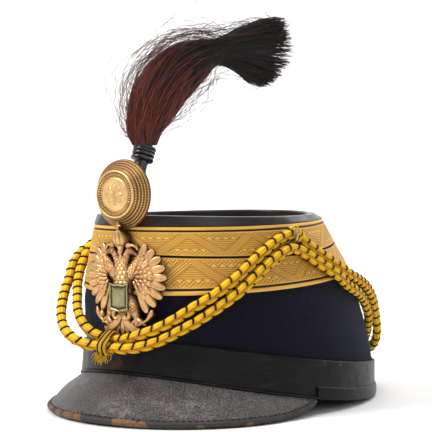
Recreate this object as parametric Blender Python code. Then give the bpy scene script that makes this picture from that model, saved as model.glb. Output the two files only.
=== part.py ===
"""Military dress shako: cloth body, sunken leather crown, two bands of gold lace,
leather base band and peak, gilt eagle plate, pompon cockade, falling horsehair
plume and a yellow cap cord that hangs from a hook on each side.

Units are metres, +Z is up, the front of the hat faces -Y and +X is the wearer's
left. The hat rests on the edge of its peak and on the rear of its lower rim.
"""
import math
from collections import namedtuple

import bmesh
import bpy
from mathutils import Matrix, Vector

# Driving sizes of the body, over the cloth
BODY_LENGTH = 0.2084
BODY_WIDTH = 0.1724
BODY_HEIGHT = 0.1222
BODY_WALL = 0.0024
GAP = 0.0003
CORNER_SHARE = 0.6
RING_SIDES = 40

# Leather and lace laid on the body
CROWN_LEATHER = 0.0012
CROWN_SINK = 0.0060
LACE_THICKNESS = 0.0012
LACE_GROOVE = 0.0006
BAND_THICKNESS = 0.0016
ROLL_THICKNESS = 0.0013
ROLL_FLOOR = 0.0019
WELT_HEIGHT = 0.0016

# Peak
PEAK_DEPTH = 0.0361
PEAK_THICKNESS = 0.0018
PEAK_BULGE = 0.0016
PEAK_HALF_ANGLE = math.radians(76.9)
PEAK_FRONT_SLOPE = math.radians(39.5)
PEAK_SIDE_SLOPE = math.radians(61.0)
PEAK_CUT = 0.975
EDGING_CUT = 0.955
EDGING_WIDTH = 0.0026
EDGING_PROUD = 0.0012
EDGING_LIP = 0.0007

# Cockade
COCKADE_RADIUS = 0.0208
COCKADE_DEPTH = 0.0099
COCKADE_HEIGHT_ABOVE_RIM = 0.0124
COCKADE_SIDES = 24
COCKADE_PETALS = 6
COCKADE_PETAL_RELIEF = 0.0008

# Plume and its socket
SOCKET_LENGTH = 0.0432
SOCKET_RADIUS = 0.0072
SOCKET_LEAN = math.radians(20.7)
SOCKET_SIDES = 16
PLUME_REACH = 0.0975
PLUME_RISE = 0.0770
PLUME_THICKNESS = 0.0340
PLUME_DEPTH = 0.0240
PLUME_HEADING = math.radians(63.2)
PLUME_LOCKS = 14
PLUME_LOCK_RELIEF = 0.10

# Eagle plate
EAGLE_HEIGHT = 0.0710
EAGLE_BEND_RADIUS = 0.1010
EAGLE_BELOW_RIM = 0.0372
SHIELD_WIDTH = 0.0126
SHIELD_HEIGHT = 0.0176
SHIELD_THICKNESS = 0.0012

# Cord and its fittings
CORD_DIAMETER = 0.0064
CORD_POINTS = 55
CORD_SIDES_RESOLUTION = 2
SLIDE_LENGTH = 0.0074
SLIDE_WALL = 0.0010
SLIDE_CLEARANCE = 0.0009
SLIDE_SIDES = 16
HOOK_WIRE = 0.0012
HOOK_CLEARANCE = 0.0009
HOOK_BEND = math.radians(200.0)
HOOK_STEPS = 8

# The body's level sections. Lengths are shares: front and back of BODY_LENGTH,
# measured from the middle of the lower edge, half_width of half BODY_WIDTH, and
# the three heights of BODY_HEIGHT. dip is how far the sides hang below the
# straight line from front to back.
Section = namedtuple("Section", "name front back half_width front_height back_height dip")
SECTIONS = (
    Section("lower_edge", -0.500, 0.500, 1.000, 0.2185, 0.000, 0.064),
    Section("band_top", -0.491, 0.506, 0.992, 0.394, 0.164, 0.038),
    Section("belly", -0.498, 0.452, 0.972, 0.503, 0.437, 0.026),
    Section("lace_foot", -0.504, 0.380, 0.910, 0.612, 0.710, 0.014),
    Section("lace_middle", -0.498, 0.331, 0.817, 0.804, 0.855, 0.032),
    Section("lace_top", -0.496, 0.293, 0.738, 0.943, 0.960, 0.007),
    Section("rim", -0.483, 0.258, 0.722, 1.000, 0.984, 0.010),
)
LOWER_EDGE, BAND_TOP, BELLY, LACE_FOOT, LACE_MIDDLE, LACE_TOP, RIM = range(len(SECTIONS))
ROLL_LEVEL_SHARE = 0.26
LACE_STRIP_SHARE = 0.112
LACE_LINE_SHARE = 0.062
LACE_SEAM_SHARE = 0.020

# The plume's bundle. reach and rise are shares of PLUME_REACH and PLUME_RISE,
# half_thick and half_deep of PLUME_THICKNESS and PLUME_DEPTH, and lean is the
# angle of the hair above the horizontal in degrees.
PlumeRow = namedtuple("PlumeRow", "reach rise half_thick half_deep lean")
PLUME_ROWS = (
    PlumeRow(0.000, 0.000, 0.205, 0.290, 92.0),
    PlumeRow(-0.004, 0.105, 0.300, 0.370, 88.0),
    PlumeRow(0.030, 0.235, 0.385, 0.430, 76.0),
    PlumeRow(0.085, 0.385, 0.440, 0.460, 64.0),
    PlumeRow(0.190, 0.550, 0.445, 0.450, 52.0),
    PlumeRow(0.310, 0.665, 0.395, 0.410, 42.0),
    PlumeRow(0.420, 0.730, 0.280, 0.350, 26.0),
    PlumeRow(0.505, 0.750, 0.225, 0.330, 10.0),
    PlumeRow(0.610, 0.765, 0.340, 0.400, 2.0),
    PlumeRow(0.740, 0.760, 0.530, 0.470, -4.0),
    PlumeRow(0.860, 0.750, 0.600, 0.500, -7.0),
)

# The tips of the locks: how far they reach past the last row, as a share of
# PLUME_REACH, and how much they draw in, shorten and lift away from the middle.
PLUME_TIP_REACH = 0.125
PLUME_TIP_DRAW = 0.86
PLUME_TIP_SHORTER = 0.45
PLUME_TIP_LIFT = 0.25

# The cockade turned about its own axis: radius is a share of COCKADE_RADIUS,
# depth of COCKADE_DEPTH, and petal says how much of the rosette the ring takes.
CockadeRow = namedtuple("CockadeRow", "radius depth petal")
COCKADE_ROWS = (
    CockadeRow(0.93, 0.00, 0.0),
    CockadeRow(1.00, 0.07, 0.0),
    CockadeRow(0.98, 0.16, 0.0),
    CockadeRow(0.92, 0.19, 0.0),
    CockadeRow(0.90, 0.31, 0.0),
    CockadeRow(0.84, 0.34, 0.0),
    CockadeRow(0.82, 0.47, 0.0),
    CockadeRow(0.76, 0.53, 0.0),
    CockadeRow(0.74, 0.70, 0.0),
    CockadeRow(0.69, 0.85, 0.0),
    CockadeRow(0.65, 0.97, 0.0),
    CockadeRow(0.60, 0.98, 0.0),
    CockadeRow(0.56, 1.00, 0.0),
    CockadeRow(0.50, 0.99, 0.0),
    CockadeRow(0.48, 0.88, 0.0),
    CockadeRow(0.30, 0.91, 1.0),
    CockadeRow(0.10, 0.93, 0.3),
)

# The plume socket turned about its leaning axis: along is a share of
# SOCKET_LENGTH, radius of SOCKET_RADIUS.
SocketRow = namedtuple("SocketRow", "along radius")
SOCKET_ROWS = (
    SocketRow(0.00, 0.54),
    SocketRow(0.44, 0.54),
    SocketRow(0.48, 0.66),
    SocketRow(0.54, 0.66),
    SocketRow(0.58, 0.55),
    SocketRow(0.77, 0.60),
    SocketRow(0.80, 0.90),
    SocketRow(0.84, 0.98),
    SocketRow(0.87, 0.86),
    SocketRow(0.91, 0.97),
    SocketRow(0.94, 0.88),
    SocketRow(0.96, 1.00),
    SocketRow(1.00, 0.98),
)

# Relief limbs of the eagle. x and z are shares of EAGLE_HEIGHT from the plate's
# centre, half is the half width, and low and high are the depths of the limb's
# edge and of its ridge in front of the plate's back, all as shares of EAGLE_HEIGHT.
Rib = namedtuple("Rib", "x z half low high")
EAGLE_BODY = (
    Rib(0.000, 0.180, 0.050, 0.004, 0.040),
    Rib(0.000, 0.110, 0.105, 0.004, 0.050),
    Rib(0.000, 0.000, 0.135, 0.004, 0.052),
    Rib(0.000, -0.170, 0.120, 0.004, 0.050),
    Rib(0.000, -0.290, 0.060, 0.004, 0.038),
    Rib(0.000, -0.340, 0.030, 0.004, 0.028),
)
EAGLE_NECK = (
    Rib(0.020, 0.070, 0.050, 0.006, 0.048),
    Rib(0.045, 0.150, 0.043, 0.006, 0.052),
    Rib(0.070, 0.205, 0.036, 0.010, 0.056),
    Rib(0.100, 0.222, 0.034, 0.012, 0.066),
    Rib(0.135, 0.212, 0.022, 0.014, 0.056),
    Rib(0.170, 0.190, 0.006, 0.018, 0.034),
)
EAGLE_SMALL_CROWN = (
    Rib(0.088, 0.238, 0.026, 0.012, 0.050),
    Rib(0.088, 0.268, 0.034, 0.012, 0.056),
    Rib(0.088, 0.292, 0.012, 0.016, 0.040),
)
EAGLE_CROWN_STEM = (
    Rib(0.000, 0.150, 0.024, 0.006, 0.040),
    Rib(0.000, 0.220, 0.020, 0.010, 0.044),
    Rib(0.000, 0.275, 0.056, 0.014, 0.066),
)
EAGLE_CROWN = (
    Rib(0.000, 0.262, 0.068, 0.012, 0.070),
    Rib(0.000, 0.290, 0.078, 0.014, 0.080),
    Rib(0.000, 0.330, 0.094, 0.020, 0.084),
    Rib(0.000, 0.372, 0.070, 0.030, 0.082),
    Rib(0.000, 0.398, 0.026, 0.040, 0.076),
)
EAGLE_CROSS = (
    Rib(0.000, 0.385, 0.012, 0.050, 0.076),
    Rib(0.000, 0.425, 0.010, 0.052, 0.074),
    Rib(0.000, 0.436, 0.028, 0.052, 0.076),
    Rib(0.000, 0.450, 0.010, 0.052, 0.074),
    Rib(0.000, 0.470, 0.014, 0.052, 0.074),
)
EAGLE_WING_ARM = (
    Rib(0.060, 0.010, 0.070, 0.006, 0.040),
    Rib(0.140, 0.090, 0.080, 0.006, 0.050),
    Rib(0.215, 0.200, 0.040, 0.006, 0.042),
)
EAGLE_LEG = (
    Rib(0.055, -0.190, 0.052, 0.005, 0.046),
    Rib(0.110, -0.270, 0.044, 0.005, 0.042),
    Rib(0.155, -0.330, 0.026, 0.005, 0.034),
    Rib(0.165, -0.372, 0.020, 0.005, 0.030),
)
EAGLE_TOES = (
    (Rib(0.150, -0.345, 0.022, 0.006, 0.032), Rib(0.095, -0.390, 0.012, 0.006, 0.024)),
    (Rib(0.162, -0.350, 0.022, 0.006, 0.034), Rib(0.150, -0.425, 0.012, 0.006, 0.024)),
    (Rib(0.165, -0.345, 0.022, 0.006, 0.032), Rib(0.235, -0.385, 0.012, 0.006, 0.024)),
)
EAGLE_STAFF = (
    Rib(0.150, -0.400, 0.014, 0.010, 0.032),
    Rib(0.250, -0.355, 0.014, 0.010, 0.032),
    Rib(0.300, -0.265, 0.022, 0.008, 0.034),
)
WING_ROOT = (0.115, 0.010)
WING_FIRST_ANGLE = 74.0
WING_LAST_ANGLE = -74.0
TAIL_ROOT = (0.000, -0.250)
TAIL_FIRST_ANGLE = -51.0
TAIL_LAST_ANGLE = -129.0

# Fans of feathers: first and last are the reach of the fan's end feathers, half
# the feathers' half width, low and high their depths, and step how far every
# second one stands in front of its neighbours, all as shares of EAGLE_HEIGHT.
Fan = namedtuple("Fan", "count first last half low high step")
PRIMARIES = Fan(9, 0.298, 0.325, 0.041, 0.003, 0.026, 0.0022)
COVERTS = Fan(4, 0.190, 0.205, 0.050, 0.009, 0.039, 0.0019)
TAIL_FEATHERS = Fan(5, 0.235, 0.235, 0.024, 0.003, 0.019, 0.0017)

# A feather from its root to its tip: along is a share of its reach, width of its
# half width and lift of its height.
FeatherRow = namedtuple("FeatherRow", "along width lift")
FEATHER_ROWS = (
    FeatherRow(0.15, 0.45, 0.80),
    FeatherRow(0.80, 1.00, 1.00),
    FeatherRow(1.00, 0.55, 0.60),
)

# Half of the breast shield's outline from its top middle to its foot, as shares
# of half its width and half its height.
ShieldPoint = namedtuple("ShieldPoint", "across rise")
SHIELD_OUTLINE = (
    ShieldPoint(0.00, 0.90),
    ShieldPoint(0.55, 0.86),
    ShieldPoint(1.00, 1.00),
    ShieldPoint(0.90, 0.62),
    ShieldPoint(0.94, 0.00),
    ShieldPoint(0.90, -0.60),
    ShieldPoint(0.96, -0.78),
    ShieldPoint(0.45, -0.90),
    ShieldPoint(0.00, -1.00),
)
SHIELD_MIDDLE = -0.165
SHIELD_FACE_SHARE = 0.93

# Routes of the two strands of the cap cord, in metres in the hat's own frame
# before it is centred, each a loop that starts and ends at the right-hand hook.
UPPER_ROUTE = (
    (-0.0707, -0.0356, 0.1093), (-0.0693, -0.0481, 0.1051), (-0.0666, -0.0612, 0.0986),
    (-0.0618, -0.0754, 0.0870), (-0.0544, -0.0870, 0.0776), (-0.0465, -0.0960, 0.0705),
    (-0.0400, -0.1034, 0.0642), (-0.0315, -0.1098, 0.0585), (-0.0235, -0.1132, 0.0537),
    (-0.0165, -0.1138, 0.0508), (-0.0100, -0.1135, 0.0492), (-0.0040, -0.1134, 0.0484),
    (0.0020, -0.1134, 0.0483), (0.0090, -0.1134, 0.0496), (0.0175, -0.1130, 0.0523),
    (0.0262, -0.1103, 0.0556), (0.0338, -0.1052, 0.0600), (0.0402, -0.0996, 0.0650),
    (0.0462, -0.0945, 0.0698), (0.0524, -0.0892, 0.0744), (0.0579, -0.0826, 0.0806),
    (0.0619, -0.0757, 0.0862), (0.0649, -0.0680, 0.0927), (0.0673, -0.0591, 0.0992),
    (0.0690, -0.0493, 0.1047), (0.0702, -0.0400, 0.1083), (0.0714, -0.0298, 0.1093),
    (0.0732, -0.0244, 0.1053), (0.0764, -0.0124, 0.0975), (0.0790, 0.0013, 0.0898),
    (0.0796, 0.0171, 0.0827), (0.0770, 0.0330, 0.0778), (0.0730, 0.0480, 0.0728),
    (0.0688, 0.0610, 0.0665), (0.0650, 0.0715, 0.0595), (0.0610, 0.0810, 0.0495),
    (0.0565, 0.0900, 0.0385), (0.0490, 0.0990, 0.0290), (0.0370, 0.1070, 0.0225),
    (0.0200, 0.1120, 0.0188), (0.0000, 0.1135, 0.0176), (-0.0200, 0.1120, 0.0188),
    (-0.0370, 0.1070, 0.0225), (-0.0490, 0.0990, 0.0290), (-0.0565, 0.0900, 0.0385),
    (-0.0610, 0.0810, 0.0495), (-0.0650, 0.0715, 0.0595), (-0.0688, 0.0610, 0.0665),
    (-0.0730, 0.0480, 0.0728), (-0.0770, 0.0330, 0.0778), (-0.0796, 0.0171, 0.0827),
    (-0.0790, 0.0013, 0.0898), (-0.0764, -0.0124, 0.0975), (-0.0732, -0.0244, 0.1053),
    (-0.0711, -0.0315, 0.1091), (-0.0707, -0.0350, 0.1093),
)
LOWER_ROUTE = (
    (-0.0732, -0.0362, 0.1013), (-0.0740, -0.0468, 0.0998), (-0.0734, -0.0601, 0.0961),
    (-0.0704, -0.0730, 0.0889), (-0.0651, -0.0830, 0.0800), (-0.0610, -0.0912, 0.0737),
    (-0.0552, -0.1002, 0.0672), (-0.0485, -0.1087, 0.0610), (-0.0410, -0.1158, 0.0553),
    (-0.0325, -0.1205, 0.0508), (-0.0240, -0.1222, 0.0474), (-0.0165, -0.1212, 0.0452),
    (-0.0100, -0.1194, 0.0445), (-0.0040, -0.1188, 0.0443), (0.0020, -0.1188, 0.0441),
    (0.0095, -0.1180, 0.0440), (0.0176, -0.1154, 0.0450), (0.0257, -0.1112, 0.0475),
    (0.0337, -0.1058, 0.0517), (0.0405, -0.1008, 0.0562), (0.0460, -0.0958, 0.0600),
    (0.0540, -0.0876, 0.0672), (0.0623, -0.0784, 0.0756), (0.0666, -0.0699, 0.0830),
    (0.0697, -0.0609, 0.0903), (0.0716, -0.0520, 0.0957), (0.0730, -0.0430, 0.0997),
    (0.0738, -0.0345, 0.1009), (0.0758, -0.0258, 0.0978), (0.0796, -0.0134, 0.0903),
    (0.0824, 0.0010, 0.0827), (0.0801, 0.0152, 0.0757), (0.0776, 0.0300, 0.0705),
    (0.0730, 0.0440, 0.0655), (0.0685, 0.0564, 0.0588), (0.0638, 0.0672, 0.0510),
    (0.0580, 0.0760, 0.0440), (0.0514, 0.0850, 0.0373), (0.0430, 0.0950, 0.0320),
    (0.0310, 0.1030, 0.0283), (0.0160, 0.1078, 0.0262), (0.0000, 0.1092, 0.0256),
    (-0.0160, 0.1078, 0.0262), (-0.0310, 0.1030, 0.0283), (-0.0430, 0.0950, 0.0320),
    (-0.0514, 0.0850, 0.0373), (-0.0580, 0.0760, 0.0440), (-0.0638, 0.0672, 0.0510),
    (-0.0685, 0.0564, 0.0588), (-0.0730, 0.0440, 0.0655), (-0.0776, 0.0300, 0.0705),
    (-0.0802, 0.0152, 0.0757), (-0.0824, 0.0010, 0.0827), (-0.0796, -0.0137, 0.0904),
    (-0.0758, -0.0259, 0.0978), (-0.0734, -0.0355, 0.1010),
)
SLIDE_UPPER = (-0.0040, -0.1134, 0.0484)
SLIDE_LOWER = (-0.0040, -0.1188, 0.0443)

# Where the upper strand hangs in its hook: along is a share of BODY_LENGTH behind
# the middle of the lower edge, below_rim and off_lace are lengths.
HOOK_ALONG_SHARE = -0.1612
HOOK_BELOW_RIM = 0.0133
HOOK_OFF_LACE = 0.0025

# Colour, roughness and metallic value of each material
Finish = namedtuple("Finish", "colour roughness metallic")
FINISHES = {
    "navy_cloth": Finish((0.011, 0.011, 0.022), 0.95, 0.0),
    "black_leather": Finish((0.018, 0.017, 0.018), 0.42, 0.0),
    "gold_lace": Finish((0.62, 0.36, 0.09), 0.45, 0.8),
    "gilt": Finish((0.72, 0.48, 0.28), 0.35, 1.0),
    "worn_edge": Finish((0.060, 0.024, 0.014), 0.50, 0.0),
    "horsehair": Finish((0.020, 0.008, 0.007), 0.50, 0.0),
    "yellow_cord": Finish((0.86, 0.50, 0.02), 0.70, 0.0),
    "plate_metal": Finish((0.30, 0.28, 0.17), 0.40, 1.0),
}


def clear_scene():
    """Remove every object that is already in the file."""
    for item in list(bpy.data.objects):
        bpy.data.objects.remove(item, do_unlink=True)


def finish_material(name):
    """Return the named material, made once."""
    material = bpy.data.materials.get(name)
    if material is None:
        finish = FINISHES[name]
        material = bpy.data.materials.new(name)
        material.use_nodes = True
        shader = material.node_tree.nodes["Principled BSDF"]
        shader.inputs["Base Color"].default_value = (*finish.colour, 1.0)
        shader.inputs["Roughness"].default_value = finish.roughness
        shader.inputs["Metallic"].default_value = finish.metallic
    return material


def link_mesh(name, mesh, material_name):
    """Put a mesh in the scene as a named object with its material."""
    mesh.materials.clear()
    mesh.materials.append(finish_material(material_name))
    part = bpy.data.objects.new(name, mesh)
    bpy.context.scene.collection.objects.link(part)
    return part


def mesh_from(name, points, faces):
    """Make a closed mesh with its faces pointing out."""
    mesh = bpy.data.meshes.new(name)
    mesh.from_pydata([tuple(point) for point in points], [], faces)
    work = bmesh.new()
    work.from_mesh(mesh)
    bmesh.ops.recalc_face_normals(work, faces=work.faces)
    work.to_mesh(mesh)
    work.free()
    mesh.shade_smooth()
    mesh.set_sharp_from_angle(angle=math.radians(35.0))
    return mesh


def sweep_mesh(name, loops, closed):
    """Join like loops of points, one after another, into a ring or a capped bar."""
    size = len(loops[0])
    points = [point for loop in loops for point in loop]
    faces = []
    count = len(loops)
    for index in range(count if closed else count - 1):
        here = index * size
        there = ((index + 1) % count) * size
        for corner in range(size):
            after = (corner + 1) % size
            faces.append((here + corner, here + after, there + after, there + corner))
    if not closed:
        faces.append(tuple(range(size)))
        faces.append(tuple(range((count - 1) * size, count * size)))
    return mesh_from(name, points, faces)


def lathe_mesh(name, rings, first, last):
    """Join rings of points and close them with a point at each end."""
    size = len(rings[0])
    points = [point for ring in rings for point in ring] + [first, last]
    start = len(points) - 2
    faces = []
    for index in range(len(rings) - 1):
        here = index * size
        for corner in range(size):
            after = (corner + 1) % size
            faces.append((here + corner, here + after, here + size + after, here + size + corner))
    top = (len(rings) - 1) * size
    for corner in range(size):
        after = (corner + 1) % size
        faces.append((start, after, corner))
        faces.append((start + 1, top + corner, top + after))
    return mesh_from(name, points, faces)


def section_value(column, level):
    """Read a column of the section table between two of its rows."""
    index = min(int(level), RIM - 1)
    share = level - index
    here = getattr(SECTIONS[index], column)
    there = getattr(SECTIONS[index + 1], column)
    return here + (there - here) * share


def wall_curve(level, angle, proud, rise):
    """A point on the body's true curve. angle is 0 at the front and 90 degrees at +X."""
    front = section_value("front", level) * BODY_LENGTH - proud
    back = section_value("back", level) * BODY_LENGTH + proud
    half = section_value("half_width", level) * BODY_WIDTH / 2 + proud
    front_height = section_value("front_height", level)
    back_height = section_value("back_height", level)
    height = (front_height + back_height) / 2 + (front_height - back_height) / 2 * math.cos(angle)
    height -= section_value("dip", level) * math.sin(angle) ** 2
    along = (front + back) / 2 + (front - back) / 2 * math.cos(angle)
    return Vector((half * math.sin(angle), along, max(height, 0.0) * BODY_HEIGHT + rise))


def wall_point(level, angle, proud=0.0, rise=0.0):
    """A point on the flat facets that every piece round the body shares."""
    step = 2 * math.pi / RING_SIDES
    facet = math.floor(angle / step + 1e-9)
    here = wall_curve(level, facet * step, proud, rise)
    there = wall_curve(level, (facet + 1) * step, proud, rise)
    return here.lerp(there, angle / step - facet)


def wall_normal(level, angle):
    """The level direction that points straight out of the wall."""
    half = section_value("half_width", level) * BODY_WIDTH / 2
    depth = (section_value("back", level) - section_value("front", level)) * BODY_LENGTH / 2
    return Vector((math.sin(angle) * depth, -math.cos(angle) * half, 0.0)).normalized()


def ring_angles():
    """Angles of a whole ring."""
    return [2 * math.pi * index / RING_SIDES for index in range(RING_SIDES)]


def arc_angles(start, end):
    """The ring's angles from start to end, with both ends."""
    step = 2 * math.pi / RING_SIDES
    first = math.ceil(start / step + 0.1)
    last = math.floor(end / step - 0.1)
    return [start] + [step * index for index in range(first, last + 1)] + [end]


WALL_FOOT = ROLL_FLOOR + GAP
BAND_OUTSIDE = GAP + BAND_THICKNESS
LACE_OUTSIDE = GAP + LACE_THICKNESS
CROWN_OUTSIDE = GAP + CROWN_LEATHER


def wall_ring(name, corners, angles, closed, material_name):
    """Sweep a section of the wall round the hat. A corner is level, proud, rise."""
    loops = []
    for angle in angles:
        loops.append([wall_point(level, angle, proud, rise) for level, proud, rise in corners])
    return link_mesh(name, sweep_mesh(name, loops, closed), material_name)


def make_cloth_body():
    """The stiff wall under its navy cloth, open below."""
    foot = WALL_FOOT
    head = -(CROWN_LEATHER + 2 * GAP)
    outside = [(LOWER_EDGE, 0.0, foot)]
    outside += [(level, 0.0, 0.0) for level in (BAND_TOP, BELLY, LACE_FOOT, LACE_MIDDLE, LACE_TOP)]
    outside += [(RIM, 0.0, head)]
    inside = [(level, proud - BODY_WALL, rise) for level, proud, rise in reversed(outside)]
    return wall_ring("cloth_body", outside + inside, ring_angles(), True, "navy_cloth")


def make_crown_leather():
    """The crown: a flap outside the wall, a raised rim and a sunken top."""
    inner = -(BODY_WALL + GAP + CROWN_LEATHER)
    inner_under = -(BODY_WALL + GAP)
    edge = CROWN_LEATHER * CORNER_SHARE
    corners = (
        (RIM, inner, -CROWN_SINK),
        (RIM, inner, -edge),
        (RIM, inner + edge, 0.0),
        (RIM, CROWN_OUTSIDE - edge, 0.0),
        (RIM, CROWN_OUTSIDE, -edge),
        (LACE_TOP, CROWN_OUTSIDE, GAP),
        (LACE_TOP, GAP, GAP),
        (RIM, GAP, -CROWN_LEATHER - GAP),
        (RIM, inner_under, -CROWN_LEATHER - GAP),
        (RIM, inner_under, -CROWN_SINK - CROWN_LEATHER),
    )
    rings = []
    for level, proud, rise in corners:
        rings.append([wall_point(level, angle, proud, rise) for angle in ring_angles()])
    middle = (wall_point(RIM, 0.0) + wall_point(RIM, math.pi)) / 2
    top = middle - Vector((0.0, 0.0, CROWN_SINK))
    under = top - Vector((0.0, 0.0, CROWN_LEATHER))
    return link_mesh("crown_leather", lathe_mesh("crown_leather", rings, top, under), "black_leather")


def make_lace():
    """The two bands of gold lace, each with a groove and a narrow strip at its outer edge."""
    skin = LACE_OUTSIDE
    groove = LACE_OUTSIDE - LACE_GROOVE
    parts = []
    for name, edge, step in (("lace_upper", LACE_TOP, -1.0), ("lace_lower", LACE_FOOT, 1.0)):
        strip = edge + step * LACE_STRIP_SHARE
        line = strip + step * LACE_LINE_SHARE
        meet = LACE_MIDDLE - step * LACE_SEAM_SHARE
        corners = (
            (edge, GAP, 0.0), (edge, skin, 0.0), (strip, skin, 0.0), (strip, groove, 0.0),
            (line, groove, 0.0), (line, skin, 0.0), (meet, skin, 0.0), (meet, GAP, 0.0),
        )
        parts.append(wall_ring(name, corners, ring_angles(), True, "gold_lace"))
    return parts


def make_base_band():
    """The leather band round the foot of the wall."""
    corner = BAND_THICKNESS * CORNER_SHARE
    corners = (
        (LOWER_EDGE, GAP, WALL_FOOT),
        (LOWER_EDGE, BAND_OUTSIDE, WALL_FOOT),
        (BAND_TOP, BAND_OUTSIDE, -corner),
        (BAND_TOP, BAND_OUTSIDE - corner, 0.0),
        (BAND_TOP, GAP, 0.0),
    )
    return wall_ring("base_band", corners, ring_angles(), True, "black_leather")


def make_edge_roll():
    """The rolled leather that binds the lower edge behind the peak."""
    slot_out = BAND_OUTSIDE + GAP
    outside = slot_out + ROLL_THICKNESS
    slot_in = -(BODY_WALL + GAP)
    inside = slot_in - ROLL_THICKNESS
    curl = ROLL_THICKNESS * CORNER_SHARE
    lip = ROLL_LEVEL_SHARE
    lean = WALL_FOOT * (1.0 - lip)
    corners = [
        (LOWER_EDGE, inside + curl, 0.0), (LOWER_EDGE, outside - curl, 0.0),
        (LOWER_EDGE, outside, curl), (lip, outside, lean - curl),
        (lip, outside - curl, lean), (lip, slot_out, lean),
        (LOWER_EDGE, slot_out, ROLL_FLOOR), (LOWER_EDGE, slot_in, ROLL_FLOOR),
        (lip, slot_in, lean), (lip, inside, lean),
        (LOWER_EDGE, inside, curl),
    ]
    start = PEAK_HALF_ANGLE * PEAK_CUT + GAP / (BODY_WIDTH / 2)
    return wall_ring("edge_roll", corners, arc_angles(start, 2 * math.pi - start), False, "black_leather")


def peak_slope(share):
    """The peak's slope at a share of its half angle."""
    return PEAK_FRONT_SLOPE + (PEAK_SIDE_SLOPE - PEAK_FRONT_SLOPE) * share ** 2


def edging_drop(slope):
    """How far the edging reaches below the upper edge of the peak."""
    under = PEAK_THICKNESS + GAP + EDGING_LIP
    return under * math.cos(slope) + EDGING_PROUD * math.sin(slope)


def peak_frame(angle):
    """The seam point, the way down the peak, the way out of its face, and its depth there."""
    share = abs(angle) / PEAK_HALF_ANGLE
    seam = wall_point(LOWER_EDGE, angle, BAND_OUTSIDE)
    depth = PEAK_DEPTH * (1.0 - share ** 2)
    slope = peak_slope(share)
    fall = seam.z - edging_drop(slope)
    if depth * math.sin(slope) > fall:
        slope = math.asin(fall / depth)
    out = wall_normal(LOWER_EDGE, angle)
    up = Vector((0.0, 0.0, 1.0))
    along = out * math.cos(slope) - up * math.sin(slope)
    face = out * math.sin(slope) + up * math.cos(slope)
    return seam, along, face, depth


def peak_surface(angle, share):
    """A point on the upper face of the peak, share 0 at the seam and 1 at the edge."""
    seam, along, face, depth = peak_frame(angle)
    bulge = PEAK_BULGE * math.sin(math.pi * share) ** 2 * depth / PEAK_DEPTH
    return seam + along * (depth * share) + face * bulge


def make_peak():
    """The leather peak with the flange that is sewn under the wall."""
    shares = (0.0, 0.25, 0.5, 0.75, 0.9, 1.0)
    limit = PEAK_HALF_ANGLE * PEAK_CUT
    loops = []
    for angle in arc_angles(-limit, limit):
        face = peak_frame(angle)[2]
        upper = [peak_surface(angle, share) for share in shares]
        lower = [point - face * PEAK_THICKNESS for point in upper[1:]]
        inner = wall_point(LOWER_EDGE, angle, -BODY_WALL)
        down = Vector((0.0, 0.0, -PEAK_THICKNESS))
        loops.append([inner] + upper + lower[::-1] + [inner + down])
    return link_mesh("peak", sweep_mesh("peak", loops, False), "black_leather")


def make_peak_edging():
    """The folded strip that binds the edge of the peak."""
    top = GAP + EDGING_LIP
    under = -(PEAK_THICKNESS + GAP)
    bottom = under - EDGING_LIP
    corner = EDGING_PROUD * CORNER_SHARE
    section = (
        (-EDGING_WIDTH, GAP), (-EDGING_WIDTH, top), (EDGING_PROUD - corner, top),
        (EDGING_PROUD, top - corner), (EDGING_PROUD, bottom + corner), (EDGING_PROUD - corner, bottom),
        (-EDGING_WIDTH, bottom), (-EDGING_WIDTH, under), (GAP, under), (GAP, GAP),
    )
    limit = PEAK_HALF_ANGLE * EDGING_CUT
    loops = []
    for angle in arc_angles(-limit, limit):
        seam, along, face, depth = peak_frame(angle)
        edge = seam + along * depth
        loop = [edge + along * out + face * lift for out, lift in section]
        loops.append([Vector((point.x, point.y, max(point.z, 0.0))) for point in loop])
    return link_mesh("peak_edging", sweep_mesh("peak_edging", loops, False), "worn_edge")


def make_peak_welt():
    """The welt that shows between the base band and the peak."""
    inner = -BODY_WALL
    outside = BAND_OUTSIDE + GAP
    corners = (
        (LOWER_EDGE, inner, GAP), (LOWER_EDGE, outside, GAP),
        (LOWER_EDGE, outside + GAP, WELT_HEIGHT / 2 + GAP),
        (LOWER_EDGE, outside, WELT_HEIGHT + GAP), (LOWER_EDGE, inner, WELT_HEIGHT + GAP),
    )
    limit = PEAK_HALF_ANGLE * PEAK_CUT
    return wall_ring("peak_welt", corners, arc_angles(-limit, limit), False, "black_leather")


def cockade_centre():
    """The middle of the cockade's back, just in front of the lace."""
    front = wall_point(LACE_TOP, 0.0, LACE_OUTSIDE + GAP)
    return Vector((0.0, front.y, BODY_HEIGHT + COCKADE_HEIGHT_ABOVE_RIM))


def make_cockade():
    """The pompon cockade, ringed with cords of metal thread, with a plain rosette."""
    centre = cockade_centre()
    rings = []
    for row in COCKADE_ROWS:
        ring = []
        for index in range(COCKADE_SIDES):
            turn = 2 * math.pi * index / COCKADE_SIDES
            petal = COCKADE_PETAL_RELIEF * row.petal * math.cos(COCKADE_PETALS * turn)
            reach = COCKADE_RADIUS * row.radius
            depth = COCKADE_DEPTH * row.depth + petal
            ring.append(centre + Vector((reach * math.sin(turn), -depth, reach * math.cos(turn))))
        rings.append(ring)
    front = centre + Vector((0.0, -COCKADE_DEPTH * COCKADE_ROWS[-1].depth - COCKADE_PETAL_RELIEF, 0.0))
    return link_mesh("cockade", lathe_mesh("cockade", rings, centre, front), "gilt")


def socket_axis():
    """The foot of the plume socket on the rim and the way it leans."""
    rim = wall_point(RIM, 0.0)
    foot = Vector((0.0, rim.y - GAP, rim.z + GAP))
    return foot, Vector((0.0, math.sin(SOCKET_LEAN), math.cos(SOCKET_LEAN)))


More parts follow.
